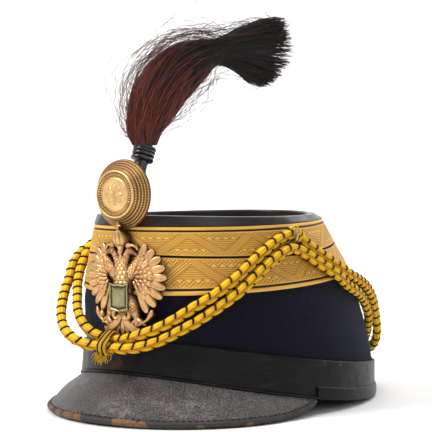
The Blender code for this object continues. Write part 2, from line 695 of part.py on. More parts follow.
def make_plume_socket():
    """The ringed socket that holds the plume; its foot is cut level to sit on the rim."""
    foot, axis = socket_axis()
    across = Vector((1.0, 0.0, 0.0))
    fore = axis.cross(across)
    rings = []
    for row in SOCKET_ROWS:
        ring = []
        for index in range(SOCKET_SIDES):
            turn = 2 * math.pi * index / SOCKET_SIDES
            spoke = (across * math.cos(turn) + fore * math.sin(turn)) * (SOCKET_RADIUS * row.radius)
            point = foot + axis * (SOCKET_LENGTH * row.along) + spoke
            if row is SOCKET_ROWS[0]:
                point.z = foot.z
            ring.append(point)
        rings.append(ring)
    last = foot + axis * SOCKET_LENGTH
    return link_mesh("plume_socket", lathe_mesh("plume_socket", rings, foot, last), "black_leather")


def make_plume():
    """The horsehair bundle: locks fused round a core, each lock with its own tip."""
    foot, axis = socket_axis()
    start = foot + axis * (SOCKET_LENGTH + GAP)
    ahead = Vector((math.cos(PLUME_HEADING), math.sin(PLUME_HEADING), 0.0))
    up = Vector((0.0, 0.0, 1.0))
    aside = up.cross(ahead)
    spokes = 2 * PLUME_LOCKS
    rings = []
    for row in PLUME_ROWS:
        lean = math.radians(row.lean)
        way = axis if row is PLUME_ROWS[0] else ahead * math.cos(lean) + up * math.sin(lean)
        across = way.cross(aside).normalized()
        flank = across.cross(way)
        middle = start + ahead * (PLUME_REACH * row.reach) + up * (PLUME_RISE * row.rise)
        ring = []
        for index in range(spokes):
            turn = 2 * math.pi * index / spokes
            swell = 1.0 + PLUME_LOCK_RELIEF * (1.0 if index % 2 else -1.0)
            reach = across * (math.cos(turn) * PLUME_THICKNESS * row.half_thick)
            reach += flank * (math.sin(turn) * PLUME_DEPTH * row.half_deep)
            ring.append(middle + reach * swell)
        rings.append(ring)
    return link_mesh("plume", plume_mesh(rings, start, middle, across, ahead, up), "horsehair")


def plume_mesh(rings, foot, heart, across, ahead, up):
    """Close the bundle below with one point and above with a tip for each lock."""
    size = len(rings[0])
    points = [point for ring in rings for point in ring] + [foot, heart]
    foot_index = len(points) - 2
    heart_index = len(points) - 1
    faces = []
    for index in range(len(rings) - 1):
        here = index * size
        for corner in range(size):
            after = (corner + 1) % size
            faces.append((here + corner, here + after, here + size + after, here + size + corner))
    faces += [(foot_index, (corner + 1) % size, corner) for corner in range(size)]
    last = (len(rings) - 1) * size
    tip_reach = PLUME_REACH * PLUME_TIP_REACH
    for lock in range(size // 2):
        peak = last + 2 * lock + 1
        left = last + 2 * lock
        right = last + (2 * lock + 2) % size
        spread = points[peak] - heart
        height = spread.dot(across) / (PLUME_THICKNESS / 2)
        reach = tip_reach * (1.0 - PLUME_TIP_SHORTER * height ** 2)
        lift = reach * PLUME_TIP_LIFT * height
        points.append(heart + spread * PLUME_TIP_DRAW + ahead * reach + up * lift)
        top = len(points) - 1
        faces += [(left, peak, top), (peak, right, top)]
        faces += [(right, heart_index, top), (heart_index, left, top)]
    return mesh_from("plume", points, faces)


def relief_limb(ribs):
    """One limb of the eagle as points and faces: a bar with a raised ridge and a closed tip."""
    points = []
    for index, rib in enumerate(ribs):
        before = ribs[max(index - 1, 0)]
        after = ribs[min(index + 1, len(ribs) - 1)]
        way = Vector((after.x - before.x, after.z - before.z)).normalized()
        side = Vector((-way.y, way.x)) * rib.half
        edge = (rib.low * 2 + rib.high) / 3
        points.append((rib.x + side.x, rib.z + side.y, edge))
        points.append((rib.x, rib.z, rib.high))
        points.append((rib.x - side.x, rib.z - side.y, edge))
        points.append((rib.x, rib.z, rib.low))
    faces = []
    for index in range(len(ribs) - 1):
        here = 4 * index
        for corner in range(4):
            after = (corner + 1) % 4
            faces.append((here + corner, here + after, here + 4 + after, here + 4 + corner))
    faces.append((0, 1, 2, 3))
    end = 4 * (len(ribs) - 1)
    faces.append((end, end + 1, end + 2, end + 3))
    return points, faces


def mirrored(ribs):
    """The same limb on the other side of the plate."""
    return tuple(rib._replace(x=-rib.x) for rib in ribs)


def feather(root, angle, reach, half, low, high):
    """A feather that leaves root at an angle above the horizontal."""
    ribs = []
    for row in FEATHER_ROWS:
        x = root[0] + math.cos(angle) * reach * row.along
        z = root[1] + math.sin(angle) * reach * row.along
        ribs.append(Rib(x, z, half * row.width, low, low + (high - low) * row.lift))
    return tuple(ribs)


def feather_fan(fan, root, first_angle, last_angle):
    """Feathers that spread from one root, every second one a little in front."""
    feathers = []
    for index in range(fan.count):
        share = (index + 0.5) / fan.count
        angle = math.radians(first_angle + (last_angle - first_angle) * share)
        reach = fan.first + (fan.last - fan.first) * share
        step = fan.step * (index % 2)
        feathers.append(feather(root, angle, reach, fan.half, fan.low + step, fan.high + step))
    return feathers


def eagle_limbs():
    """Every limb of the plate except the body, both sides of it."""
    right = [EAGLE_NECK, EAGLE_SMALL_CROWN, EAGLE_WING_ARM, EAGLE_LEG, EAGLE_STAFF]
    right += list(EAGLE_TOES)
    right += feather_fan(PRIMARIES, WING_ROOT, WING_FIRST_ANGLE, WING_LAST_ANGLE)
    right += feather_fan(COVERTS, WING_ROOT, WING_FIRST_ANGLE, WING_LAST_ANGLE)
    limbs = right + [mirrored(limb) for limb in right]
    limbs += [EAGLE_CROWN_STEM, EAGLE_CROWN, EAGLE_CROSS]
    limbs += feather_fan(TAIL_FEATHERS, TAIL_ROOT, TAIL_FIRST_ANGLE, TAIL_LAST_ANGLE)
    return limbs


def eagle_back():
    """How far forward the back of the plate lies."""
    return wall_point(LACE_FOOT, 0.0, LACE_OUTSIDE + GAP).y


def bent_point(x, z, depth):
    """Bend the flat plate round the front of the hat."""
    height = BODY_HEIGHT - EAGLE_BELOW_RIM + z
    return Vector((x, eagle_back() - depth + x * x / (2 * EAGLE_BEND_RADIUS), height))


def flat_limb_mesh(name, limbs):
    """Limbs at real size in the plate's flat frame: X across, Y depth, Z up."""
    points = []
    faces = []
    for limb in limbs:
        limb_points, limb_faces = relief_limb(limb)
        start = len(points)
        points += [Vector((x, -depth, z)) * EAGLE_HEIGHT for x, z, depth in limb_points]
        faces += [tuple(start + corner for corner in face) for face in limb_faces]
    return mesh_from(name, points, faces)


def remove_pockets(work):
    """Keep the largest closed surface and drop the small sealed pockets inside it."""
    surfaces = []
    waiting = set(work.verts)
    while waiting:
        surface = [waiting.pop()]
        for vertex in surface:
            near = [edge.other_vert(vertex) for edge in vertex.link_edges]
            fresh = [other for other in near if other in waiting]
            waiting.difference_update(fresh)
            surface += fresh
        surfaces.append(surface)
    surfaces.sort(key=len)
    for surface in surfaces[:-1]:
        bmesh.ops.delete(work, geom=surface, context="VERTS")


def make_eagle_plate():
    """The pierced gilt eagle with two crowned heads, fused from its limbs and bent."""
    body = link_mesh("eagle_plate", flat_limb_mesh("eagle_body", [EAGLE_BODY]), "gilt")
    limbs = link_mesh("eagle_limbs", flat_limb_mesh("eagle_limbs", eagle_limbs()), "gilt")
    limbs.hide_render = True
    limbs.display_type = "WIRE"
    join = body.modifiers.new("join limbs", "BOOLEAN")
    join.operation = "UNION"
    join.solver = "EXACT"
    join.use_self = True
    join.object = limbs
    joined = bpy.data.meshes.new_from_object(body.evaluated_get(bpy.context.evaluated_depsgraph_get()))
    bpy.data.objects.remove(body, do_unlink=True)
    bpy.data.objects.remove(limbs, do_unlink=True)
    work = bmesh.new()
    work.from_mesh(joined)
    bmesh.ops.triangulate(work, faces=work.faces)
    bmesh.ops.remove_doubles(work, verts=work.verts, dist=0.00001)
    remove_pockets(work)
    for vertex in work.verts:
        vertex.co = bent_point(vertex.co.x, vertex.co.z, -vertex.co.y)
    work.to_mesh(joined)
    work.free()
    return link_mesh("eagle_plate", joined, "gilt")


def make_shield_plate():
    """The small plate on the eagle's breast, left bare."""
    half = SHIELD_WIDTH / 2
    tall = SHIELD_HEIGHT / 2
    middle = SHIELD_MIDDLE * EAGLE_HEIGHT
    outline = [(point.across * half, point.rise * tall) for point in SHIELD_OUTLINE]
    outline += [(-across, rise) for across, rise in reversed(outline[1:-1])]
    seat = max(rib.high for rib in EAGLE_BODY) * EAGLE_HEIGHT + GAP
    edge = seat + SHIELD_THICKNESS * CORNER_SHARE
    loops = []
    for depth, share in ((seat, 1.0), (edge, 1.0), (seat + SHIELD_THICKNESS, SHIELD_FACE_SHARE)):
        loops.append([bent_point(across * share, middle + rise * share, depth) for across, rise in outline])
    return link_mesh("shield_plate", sweep_mesh("shield_plate", loops, False), "plate_metal")


def smooth_route(route, count):
    """Even points along a smooth curve through the route's own points."""
    knots = [Vector(point) for point in route]
    fine = []
    for index in range(len(knots) - 1):
        before = knots[max(index - 1, 0)]
        here = knots[index]
        there = knots[index + 1]
        after = knots[min(index + 2, len(knots) - 1)]
        for step in range(8):
            t = step / 8
            fine.append(0.5 * (2 * here + (there - before) * t
                               + (2 * before - 5 * here + 4 * there - after) * t ** 2
                               + (3 * here - before - 3 * there + after) * t ** 3))
    fine.append(knots[-1])
    travelled = [0.0]
    for here, there in zip(fine, fine[1:]):
        travelled.append(travelled[-1] + (there - here).length)
    points = []
    spot = 0
    for index in range(count):
        goal = travelled[-1] * index / (count - 1)
        while spot < len(fine) - 2 and travelled[spot + 1] < goal:
            spot += 1
        share = (goal - travelled[spot]) / (travelled[spot + 1] - travelled[spot])
        points.append(fine[spot].lerp(fine[spot + 1], min(share, 1.0)))
    return points


def tube(name, points, diameter, resolution, material_name):
    """A round bar along points, with closed ends."""
    curve = bpy.data.curves.new(name, "CURVE")
    curve.dimensions = "3D"
    curve.bevel_depth = diameter / 2
    curve.bevel_resolution = resolution
    curve.use_fill_caps = True
    curve.resolution_u = 1
    curve.render_resolution_u = 0
    spline = curve.splines.new("POLY")
    spline.points.add(len(points) - 1)
    for knot, point in zip(spline.points, points):
        knot.co = (*point, 1.0)
    curve.materials.append(finish_material(material_name))
    part = bpy.data.objects.new(name, curve)
    bpy.context.scene.collection.objects.link(part)
    return part


def make_cords():
    """The two strands of the cap cord."""
    parts = []
    for name, route in (("cord_upper", UPPER_ROUTE), ("cord_lower", LOWER_ROUTE)):
        points = smooth_route(route, CORD_POINTS)
        parts.append(tube(name, points, CORD_DIAMETER, CORD_SIDES_RESOLUTION, "yellow_cord"))
    return parts


def make_cord_slide():
    """The wound slide that holds the two strands together below the eagle."""
    upper = Vector(SLIDE_UPPER)
    lower = Vector(SLIDE_LOWER)
    middle = (upper + lower) / 2
    long_way = (upper - lower).normalized()
    short_way = Vector((1.0, 0.0, 0.0)).cross(long_way)
    half = (upper - lower).length / 2
    bore = CORD_DIAMETER / 2 + SLIDE_CLEARANCE
    outside = bore + SLIDE_WALL
    chamfer = SLIDE_WALL * CORNER_SHARE
    end = SLIDE_LENGTH / 2
    section = (
        (-end, bore), (-end, outside - chamfer), (-end + chamfer, outside),
        (end - chamfer, outside), (end, outside - chamfer), (end, bore),
    )
    loops = []
    for index in range(SLIDE_SIDES):
        turn = 2 * math.pi * (index + 0.5) / SLIDE_SIDES
        spoke = long_way * math.sin(turn) + short_way * math.cos(turn)
        heart = middle + long_way * math.copysign(half, math.sin(turn))
        loops.append([heart + spoke * reach + Vector((along, 0.0, 0.0)) for along, reach in section])
    return link_mesh("cord_slide", sweep_mesh("cord_slide", loops, True), "yellow_cord")


def wall_side(along, height, proud):
    """How far out the lace lies at a place along the hat and a height above the table."""
    low = float(LACE_MIDDLE)
    high = float(LACE_TOP)
    point = wall_point(low, math.pi / 2, proud)
    for _ in range(24):
        level = (low + high) / 2
        front = section_value("front", level) * BODY_LENGTH - proud
        back = section_value("back", level) * BODY_LENGTH + proud
        angle = math.acos((2 * along - front - back) / (front - back))
        point = wall_point(level, angle, proud)
        if point.z < height:
            low = level
        else:
            high = level
    return point.x


def make_hooks():
    """The wire hook on each side that carries the upper strand."""
    bend = CORD_DIAMETER / 2 + HOOK_WIRE / 2 + HOOK_CLEARANCE
    along = HOOK_ALONG_SHARE * BODY_LENGTH
    rise = BODY_HEIGHT - HOOK_BELOW_RIM
    root = wall_side(along, rise - bend, LACE_OUTSIDE + GAP)
    heart = root + HOOK_OFF_LACE
    parts = []
    for name, side in (("hook_left", 1.0), ("hook_right", -1.0)):
        points = [Vector((side * root, along, rise - bend))]
        for step in range(HOOK_STEPS + 1):
            turn = HOOK_BEND * step / HOOK_STEPS - math.pi / 2
            across = heart + bend * math.cos(turn)
            points.append(Vector((side * across, along, rise + bend * math.sin(turn))))
        parts.append(tube(name, points, HOOK_WIRE, 1, "gilt"))
    return parts


def centre_on_floor(parts, loose):
    """Move everything so that the origin is below the middle of the hat without its cord."""
    bpy.context.view_layer.update()
    reach = []
    for part in parts:
        if part not in loose:
            reach += [(part.matrix_world @ Vector(corner)).y for corner in part.bound_box]
    shift = Matrix.Translation((0.0, -(min(reach) + max(reach)) / 2, 0.0))
    for part in parts:
        part.data.transform(shift)


def main():
    """Build every piece of the hat."""
    clear_scene()
    parts = [make_cloth_body(), make_crown_leather()]
    parts += make_lace()
    parts += [make_base_band(), make_edge_roll(), make_peak(), make_peak_edging(), make_peak_welt()]
    parts += [make_cockade(), make_plume_socket(), make_plume(), make_eagle_plate(), make_shield_plate()]
    parts += make_hooks()
    loose = make_cords() + [make_cord_slide()]
    centre_on_floor(parts + loose, loose)


main()
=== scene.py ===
"""The dress shako as it looks: leather, wool cloth, gold lace, gilt, horsehair and cord.

Every length is in metres. The hat faces -Y, +X is the wearer's left and +Z is up.
"""
from __future__ import annotations

import logging
import math
from dataclasses import dataclass, field
from enum import Enum, IntEnum
from typing import NamedTuple, Sequence

import bmesh
import bpy
import numpy as np
from mathutils import Matrix, Vector, noise

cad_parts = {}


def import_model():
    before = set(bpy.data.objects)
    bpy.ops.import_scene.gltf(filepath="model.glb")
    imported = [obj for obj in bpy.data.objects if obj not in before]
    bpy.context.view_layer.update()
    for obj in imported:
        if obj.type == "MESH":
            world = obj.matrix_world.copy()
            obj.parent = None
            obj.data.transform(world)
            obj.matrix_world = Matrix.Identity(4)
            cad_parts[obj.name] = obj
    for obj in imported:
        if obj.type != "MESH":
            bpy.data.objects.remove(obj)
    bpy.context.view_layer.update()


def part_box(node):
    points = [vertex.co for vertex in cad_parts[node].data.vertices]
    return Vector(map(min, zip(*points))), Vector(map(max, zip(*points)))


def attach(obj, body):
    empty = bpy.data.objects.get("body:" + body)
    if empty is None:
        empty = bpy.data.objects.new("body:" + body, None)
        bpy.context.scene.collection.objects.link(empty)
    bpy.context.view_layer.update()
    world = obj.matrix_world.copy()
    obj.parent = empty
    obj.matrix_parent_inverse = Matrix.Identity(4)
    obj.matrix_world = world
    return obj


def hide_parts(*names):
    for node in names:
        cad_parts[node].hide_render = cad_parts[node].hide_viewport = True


LOG = logging.getLogger("shako")
# What neighbouring pieces keep between them.
GAP = 0.0003
LACE_THICKNESS = 0.0012
LACE_FRONT = GAP + LACE_THICKNESS + GAP
# How far round the front the peak reaches, and the share of it that is wide enough to be made.
PEAK_HALF_ANGLE = math.radians(76.9)
PEAK_CUT = 0.975
CORD_RADIUS = 0.0032
CORD_CLEARANCE = 0.0009
UP = Vector((0.0, 0.0, 1.0))
Colour = tuple[float, float, float]
Item = bpy.types.Object
Material = bpy.types.Material
Socket = bpy.types.NodeSocket
Value = Socket | float | Colour
Numbers = float | np.ndarray
# The same scale along each axis.
EVEN = (1.0, 1.0, 1.0)


class Level(IntEnum):
    """The named levels of the wall, from its lower edge to its rim."""

    LOWER_EDGE = 0
    BAND_TOP = 1
    BELLY = 2
    LACE_FOOT = 3
    LACE_MIDDLE = 4
    LACE_TOP = 5
    RIM = 6


class Section(NamedTuple):
    """A level section of the wall, in shares of the hat's length, half width and height."""

    front: float
    back: float
    half_width: float
    front_height: float
    back_height: float
    dip: float


SECTIONS = {
    Level.LOWER_EDGE: Section(-0.500, 0.500, 1.000, 0.2185, 0.000, 0.064),
    Level.BAND_TOP: Section(-0.491, 0.506, 0.992, 0.394, 0.164, 0.038),
    Level.BELLY: Section(-0.498, 0.452, 0.972, 0.503, 0.437, 0.026),
    Level.LACE_FOOT: Section(-0.504, 0.380, 0.910, 0.612, 0.710, 0.014),
    Level.LACE_MIDDLE: Section(-0.498, 0.331, 0.817, 0.804, 0.855, 0.032),
    Level.LACE_TOP: Section(-0.496, 0.293, 0.738, 0.943, 0.960, 0.007),
    Level.RIM: Section(-0.483, 0.258, 0.722, 1.000, 0.984, 0.010),
}


def full_turn(count: int) -> np.ndarray:
    """Space angles evenly round a full turn, each one once."""
    return np.linspace(0.0, 2 * math.pi, count, endpoint=False)


def travelled(points: np.ndarray) -> np.ndarray:
    """Return how far along a curve each of its points lies."""
    return np.concatenate(([0.0], np.cumsum(np.linalg.norm(np.diff(points, axis=0), axis=1))))


def units(vectors: np.ndarray) -> np.ndarray:
    """Scale the vectors along the last axis to length 1."""
    return vectors / np.maximum(np.linalg.norm(vectors, axis=-1, keepdims=True), 1e-9)


def swing(turns: np.ndarray) -> np.ndarray:
    """Return a wave between 0 and 1 that has a crest at each whole number."""
    return 0.5 + 0.5 * np.cos(2 * math.pi * turns)


def circled(turn: np.ndarray, reach: Numbers, first: Vector, second: Vector) -> np.ndarray:
    """Return offsets at angles of a circle, which starts at the first way and turns to the second.

    Args:
        turn: The angles.
        reach: The circle's radius, one number or one for each angle.
        first: The way at angle 0.
        second: The way a quarter turn on.

    Returns:
        An offset for each angle.
    """
    return np.outer(np.cos(turn) * reach, first) + np.outer(np.sin(turn) * reach, second)


def put(name: str, data: bpy.types.ID) -> Item:
    """Make an object from its data and link it to the scene.

    Args:
        name: Its name.
        data: Its mesh, camera or light.

    Returns:
        The object.
    """
    item = bpy.data.objects.new(name, data)
    bpy.context.scene.collection.objects.link(item)
    return item


def keep(mesh: bpy.types.Mesh, name: str, numbers: np.ndarray) -> None:
    """Keep a number on each point of a mesh."""
    attribute = mesh.attributes.new(name, "FLOAT", "POINT")
    attribute.data.foreach_set("value", np.asarray(numbers, np.float32).ravel())


@dataclass(frozen=True)
class Wall:
    """The stiff wall of the hat, which every ring of leather and lace follows."""

    shift: float
    length: float = 0.2084
    width: float = 0.1724
    height: float = 0.1222
    thickness: float = 0.0024

    @classmethod
    def in_frame(cls) -> Wall:
        """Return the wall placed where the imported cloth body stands.

        Returns:
            The wall.
        """
        low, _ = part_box("cloth_body")
        front = min(section.front for section in SECTIONS.values())
        return cls(shift=low.y - front * cls.length)

    def column(self, name: str, level: np.ndarray) -> np.ndarray:
        """Read a column of the sections between two levels.

        Args:
            name: The column's name.
            level: Levels, whole or between two sections.

        Returns:
            The column's share at each level.
        """
        rows = [getattr(section, name) for section in SECTIONS.values()]
        return np.interp(level, range(len(rows)), rows)

    def points(self, level: Numbers, angle: Numbers, proud: Numbers = 0.0, rise: Numbers = 0.0) -> np.ndarray:
        """Find points on the wall or a little off it.

        Args:
            level: Levels from the lower edge to the rim.
            angle: Angles round the hat, 0 at the front and a quarter turn at +X.
            proud: How far out of the wall.
            rise: How far above it.

        Returns:
            Points, with x, y and z along the last axis.
        """
        level, angle, proud, rise = np.broadcast_arrays(level, angle, proud, rise)
        front = self.column("front", level) * self.length - proud
        back = self.column("back", level) * self.length + proud
        half = self.column("half_width", level) * self.width / 2 + proud
        front_height = self.column("front_height", level)
        back_height = self.column("back_height", level)
        height = (front_height + back_height) / 2 + (front_height - back_height) / 2 * np.cos(angle)
        height = height - self.column("dip", level) * np.sin(angle) ** 2
        along = (front + back) / 2 + (front - back) / 2 * np.cos(angle) + self.shift
        z = np.maximum(height, 0.0) * self.height + rise
        return np.stack((half * np.sin(angle), along, z), axis=-1)

    def point(self, level: float, angle: float, proud: float = 0.0, rise: float = 0.0) -> Vector:
        """Return one point of the wall as a vector."""
        return Vector(self.points(level, angle, proud, rise).tolist())

    def outward(self, level: float, angle: float) -> Vector:
        """Return the level direction that points straight out of the wall.

        Args:
            level: The level on the wall.
            angle: The angle round the hat.

        Returns:
            The direction.
        """
        half = float(self.column("half_width", level)) * self.width / 2
        depth = float(self.column("back", level) - self.column("front", level)) * self.length / 2
        return Vector((math.sin(angle) * depth, -math.cos(angle) * half, 0.0)).normalized()

    def even_angles(self, level: float, count: int) -> tuple[np.ndarray, float]:
        """Space angles evenly along the wall's own curve.

        Args:
            level: The level whose curve is measured.
            count: How many angles.

        Returns:
            The angles, and the length round the wall there.
        """
        fine = np.linspace(0.0, 2 * math.pi, 4001)
        way = travelled(self.points(level, fine))
        goals = way[-1] * np.arange(count) / count
        return np.interp(goals, way, fine), float(way[-1])


def quads(rows: int, columns: int, wrap_rows: bool, wrap_columns: bool) -> list[list[int]]:
    """List the faces of a grid of points.

    Args:
        rows: Number of rows.
        columns: Number of points in a row.
        wrap_rows: Whether the last row joins the first.
        wrap_columns: Whether each row is a ring.

    Returns:
        The corner numbers of each face.
    """
    row = np.arange(rows if wrap_rows else rows - 1)
    column = np.arange(columns if wrap_columns else columns - 1)
    row, column = np.meshgrid(row, column, indexing="ij")
    below = (row + 1) % rows
    beside = (column + 1) % columns
    corners = (row * columns + column, row * columns + beside,
               below * columns + beside, below * columns + column)
    return np.stack(corners, axis=-1).reshape(-1, 4).tolist()


def new_piece(name: str, points: np.ndarray, faces: list, sharp: float = 60.0, **values: np.ndarray) -> Item:
    """Make a closed piece with its faces pointing out.

    Args:
        name: The piece's name.
        points: Its points, in any grid shape.
        faces: The corner numbers of its faces.
        sharp: Edges bent by more than this many degrees stay crisp.
        **values: Numbers kept on the points, one array for each name.

    Returns:
        The new object.
    """
    mesh = bpy.data.meshes.new(name)
    mesh.from_pydata(np.asarray(points, float).reshape(-1, 3).tolist(), [], faces)
    for label, numbers in values.items():
        keep(mesh, label, numbers)
    work = bmesh.new()
    work.from_mesh(mesh)
    bmesh.ops.recalc_face_normals(work, faces=work.faces)
    work.to_mesh(mesh)
    work.free()
    mesh.shade_smooth()
    mesh.set_sharp_from_angle(angle=math.radians(sharp))
    return put(name, mesh)


def ring_piece(name: str, grid: np.ndarray, **values: np.ndarray) -> Item:
    """Make a piece whose section goes right round the hat.

    Args:
        name: The piece's name.
        grid: Points by angle and by corner of the section.
        **values: Numbers on the points, of the grid's shape.

    Returns:
        The new object.
    """
    return new_piece(name, grid, quads(grid.shape[0], grid.shape[1], True, True), **values)


def bar_faces(rows: int, columns: int) -> list[list[int]]:
    """List the faces of rings closed by a flat face at each end."""
    ends = [list(range(columns)), list(range((rows - 1) * columns, rows * columns))]
    return quads(rows, columns, False, True) + ends


def bar_piece(name: str, grid: np.ndarray, **values: np.ndarray) -> Item:
    """Make a piece whose section is swept from one end to the other.

    Args:
        name: The piece's name.
        grid: Points by station and by corner of the section.
        **values: Numbers on the points, of the grid's shape.

    Returns:
        The new object.
    """
    return new_piece(name, grid, bar_faces(*grid.shape[:2]), **values)


def turned_faces(rows: int, columns: int) -> list[list[int]]:
    """List the faces of rings closed by a point at each end, kept after the rings.

    Args:
        rows: Number of rings.
        columns: Number of points in a ring.

    Returns:
        The corner numbers of each face.
    """
    faces = quads(rows, columns, False, True)
    first = rows * columns
    last = (rows - 1) * columns
    for corner in range(columns):
        after = (corner + 1) % columns
        faces.append([first, after, corner])
        faces.append([first + 1, last + corner, last + after])
    return faces


def turned_piece(name: str, grid: np.ndarray, first: Vector, last: Vector, **values: np.ndarray) -> Item:
    """Make a piece from rings, closed by one point at each end.

    Args:
        name: The piece's name.
        grid: Points by ring and by place in the ring.
        first: The point that closes the first ring.
        last: The point that closes the last ring.
        **values: Numbers on the rings' points, of the grid's shape.

    Returns:
        The new object.
    """
    rows, columns = grid.shape[:2]
    points = np.concatenate((grid.reshape(-1, 3), np.array([first, last], float)))
    full = {}
    for label, numbers in values.items():
        flat = np.asarray(numbers, float)
        full[label] = np.concatenate((flat.ravel(), [flat[0].mean(), flat[-1].mean()]))
    return new_piece(name, points, turned_faces(rows, columns), **full)


def smooth_rows(rows: np.ndarray, count: int) -> np.ndarray:
    """Run a smooth curve through the rows of a table.

    Args:
        rows: A row for each station.
        count: How many rows to return.

    Returns:
        Rows along the curve, from the first station to the last.
    """
    padded = np.concatenate((2 * rows[:1] - rows[1:2], rows, 2 * rows[-1:] - rows[-2:-1]))
    place = np.linspace(0.0, len(rows) - 1, count)
    index = np.minimum(place.astype(int), len(rows) - 2)
    t = (place - index)[:, None]
    before, here, there, after = (padded[index + step] for step in range(4))
    return 0.5 * (2 * here + (there - before) * t
                  + (2 * before - 5 * here + 4 * there - after) * t ** 2
                  + (3 * here - before - 3 * there + after) * t ** 3)


def dress(piece: Item, material: Material | None = None, nodes: Sequence[str] = ()) -> None:
    """Give a finished piece its material and its place on the body.

    Args:
        piece: The object.
        material: The material, or None where the piece has its own already.
        nodes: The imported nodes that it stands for.
    """
    if material is not None:
        piece.data.materials.clear()
        piece.data.materials.append(material)
    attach(piece, "root")
    if nodes:
        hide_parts(*nodes)
    LOG.info("%s: %d faces", piece.name, len(piece.data.polygons))


class Nodes:
    """A node tree and a short way to add to it."""

    def __init__(self, tree: bpy.types.NodeTree) -> None:
        """Keep the tree."""
        self.tree = tree

    def join(self, socket: Socket, value: Value) -> None:
        """Link a socket to another, or give it a plain value.

        Args:
            socket: The input.
            value: The output to link, or the value.
        """
        if isinstance(value, Socket):
            self.tree.links.new(value, socket)
        else:
            socket.default_value = value

    def add(self, kind: str, settings: dict | None = None, first: Sequence[Value] = (),
            **inputs: Value) -> bpy.types.Node:
        """Add a node.

        Args:
            kind: The node's type.
            settings: Properties of the node itself.
            first: Values or sockets for its first inputs, in their order.
            **inputs: Values or sockets, by input name with underscores for spaces.

        Returns:
            The node.
        """
        node = self.tree.nodes.new(kind)
        for label, value in (settings or {}).items():
            setattr(node, label, value)
        for number, value in enumerate(first):
            self.join(node.inputs[number], value)
        for label, value in inputs.items():
            self.join(node.inputs[label.replace("_", " ")], value)
        return node


class Paint(Nodes):
    """Lays out the nodes of one procedural material."""

    def __init__(self, name: str, colour: Colour, roughness: float, metallic: float = 0.0) -> None:
        """Start a material.

        Args:
            name: The material's name.
            colour: Its plain colour.
            roughness: Its plain roughness.
            metallic: Its metallic value.
        """
        self.material = bpy.data.materials.new(name)
        self.material.use_nodes = True
        super().__init__(self.material.node_tree)
        self.shader = self.tree.nodes["Principled BSDF"]
        self.set("Base Color", (*colour, 1.0))
        self.set("Roughness", roughness)
        self.set("Metallic", metallic)
        self.place = self.add("ShaderNodeTexCoord").outputs["Object"]

    def set(self, name: str, value: float | tuple[float, ...]) -> None:
        """Set a plain value on the shader's own socket."""
        self.shader.inputs[name].default_value = value

    def feed(self, name: str, source: Socket) -> None:
        """Link a socket to one of the shader's inputs."""
        self.tree.links.new(source, self.shader.inputs[name])

    def stretched(self, stretch: Colour) -> Socket:
        """Return object coordinates scaled along each axis."""
        return self.add("ShaderNodeMapping", Vector=self.place, Scale=stretch).outputs["Vector"]

    def noise(self, scale: float, detail: float = 3.0, stretch: Colour = EVEN, warp: float = 0.0) -> Socket:
        """Return a noise value.

        Args:
            scale: Grains to the metre.
            detail: How many finer layers it holds.
            stretch: Scale along each axis.
            warp: How strongly it is distorted.

        Returns:
            The noise socket, from 0 to 1.
        """
        node = self.add("ShaderNodeTexNoise", Vector=self.stretched(stretch), Scale=scale,
                        Detail=detail, Roughness=0.6, Distortion=warp)
        return node.outputs["Fac"]

    def cells(self, scale: float, stretch: Colour = EVEN, bend: float = 0.0) -> Socket:
        """Return how far each place is from the nearest crack between cells.

        Args:
            scale: Cells to the metre.
            stretch: Scale along each axis.
            bend: How far the cracks wander, in metres.

        Returns:
            The distance socket.
        """
        source = self.stretched(stretch)
        if bend:
            wander = self.add("ShaderNodeTexNoise", Vector=source, Scale=scale * 0.7, Detail=2.0)
            push = self.add("ShaderNodeVectorMath", {"operation": "SCALE"}, [wander.outputs["Color"]],
                            Scale=bend)
            both = (source, push.outputs["Vector"])
            source = self.add("ShaderNodeVectorMath", {"operation": "ADD"}, both).outputs["Vector"]
        edges = {"feature": "DISTANCE_TO_EDGE"}
        return self.add("ShaderNodeTexVoronoi", edges, Vector=source, Scale=scale).outputs["Distance"]

    def ramp(self, source: Socket, low: float, high: float, start: float = 0.0, end: float = 1.0) -> Socket:
        """Spread a value from low to high over start to end, and cut off what lies outside.

        Args:
            source: The value's socket.
            low: What becomes the start.
            high: What becomes the end.
            start: Value at low.
            end: Value at high.

        Returns:
            The new value's socket.
        """
        node = self.add("ShaderNodeMapRange", Value=source, From_Min=low, From_Max=high,
                        To_Min=start, To_Max=end)
        return node.outputs["Result"]

    def mix(self, factor: Socket, first: Socket | Colour, second: Socket | Colour) -> Socket:
        """Return a colour between two colours or colour sockets.

        Args:
            factor: 0 for the first and 1 for the second.
            first: The first.
            second: The second.

        Returns:
            The mixed colour's socket.
        """
        node = self.add("ShaderNodeMix", {"data_type": "RGBA"}, Factor=factor)
        for socket, value in ((node.inputs[6], first), (node.inputs[7], second)):
            self.join(socket, (*value, 1.0) if isinstance(value, tuple) else value)
        return node.outputs[2]

    def sum(self, operation: str, first: Value, second: Value) -> Socket:
        """Return two values put together by one operation."""
        return self.add("ShaderNodeMath", {"operation": operation}, (first, second)).outputs["Value"]

    def near(self, place: Vector, reach: float) -> Socket:
        """Return 1 at a place and 0 beyond its reach."""
        node = self.add("ShaderNodeVectorMath", {"operation": "DISTANCE"}, (self.place, place))
        return self.ramp(node.outputs["Value"], reach, reach * 0.35)

    def kept(self, name: str) -> Socket:
        """Return a number that is kept on the piece's points."""
        return self.add("ShaderNodeAttribute", {"attribute_name": name}).outputs["Fac"]

    def relief(self, *layers: tuple[Socket, float]) -> None:
        """Give the surface its fine relief.

        Args:
            *layers: A height socket and a depth for each layer.
        """
        normal = None
        for height, depth in layers:
            node = self.add("ShaderNodeBump", Height=height, Distance=depth, Strength=1.0)
            if normal is not None:
                self.join(node.inputs["Normal"], normal)
            normal = node.outputs["Normal"]
        self.feed("Normal", normal)


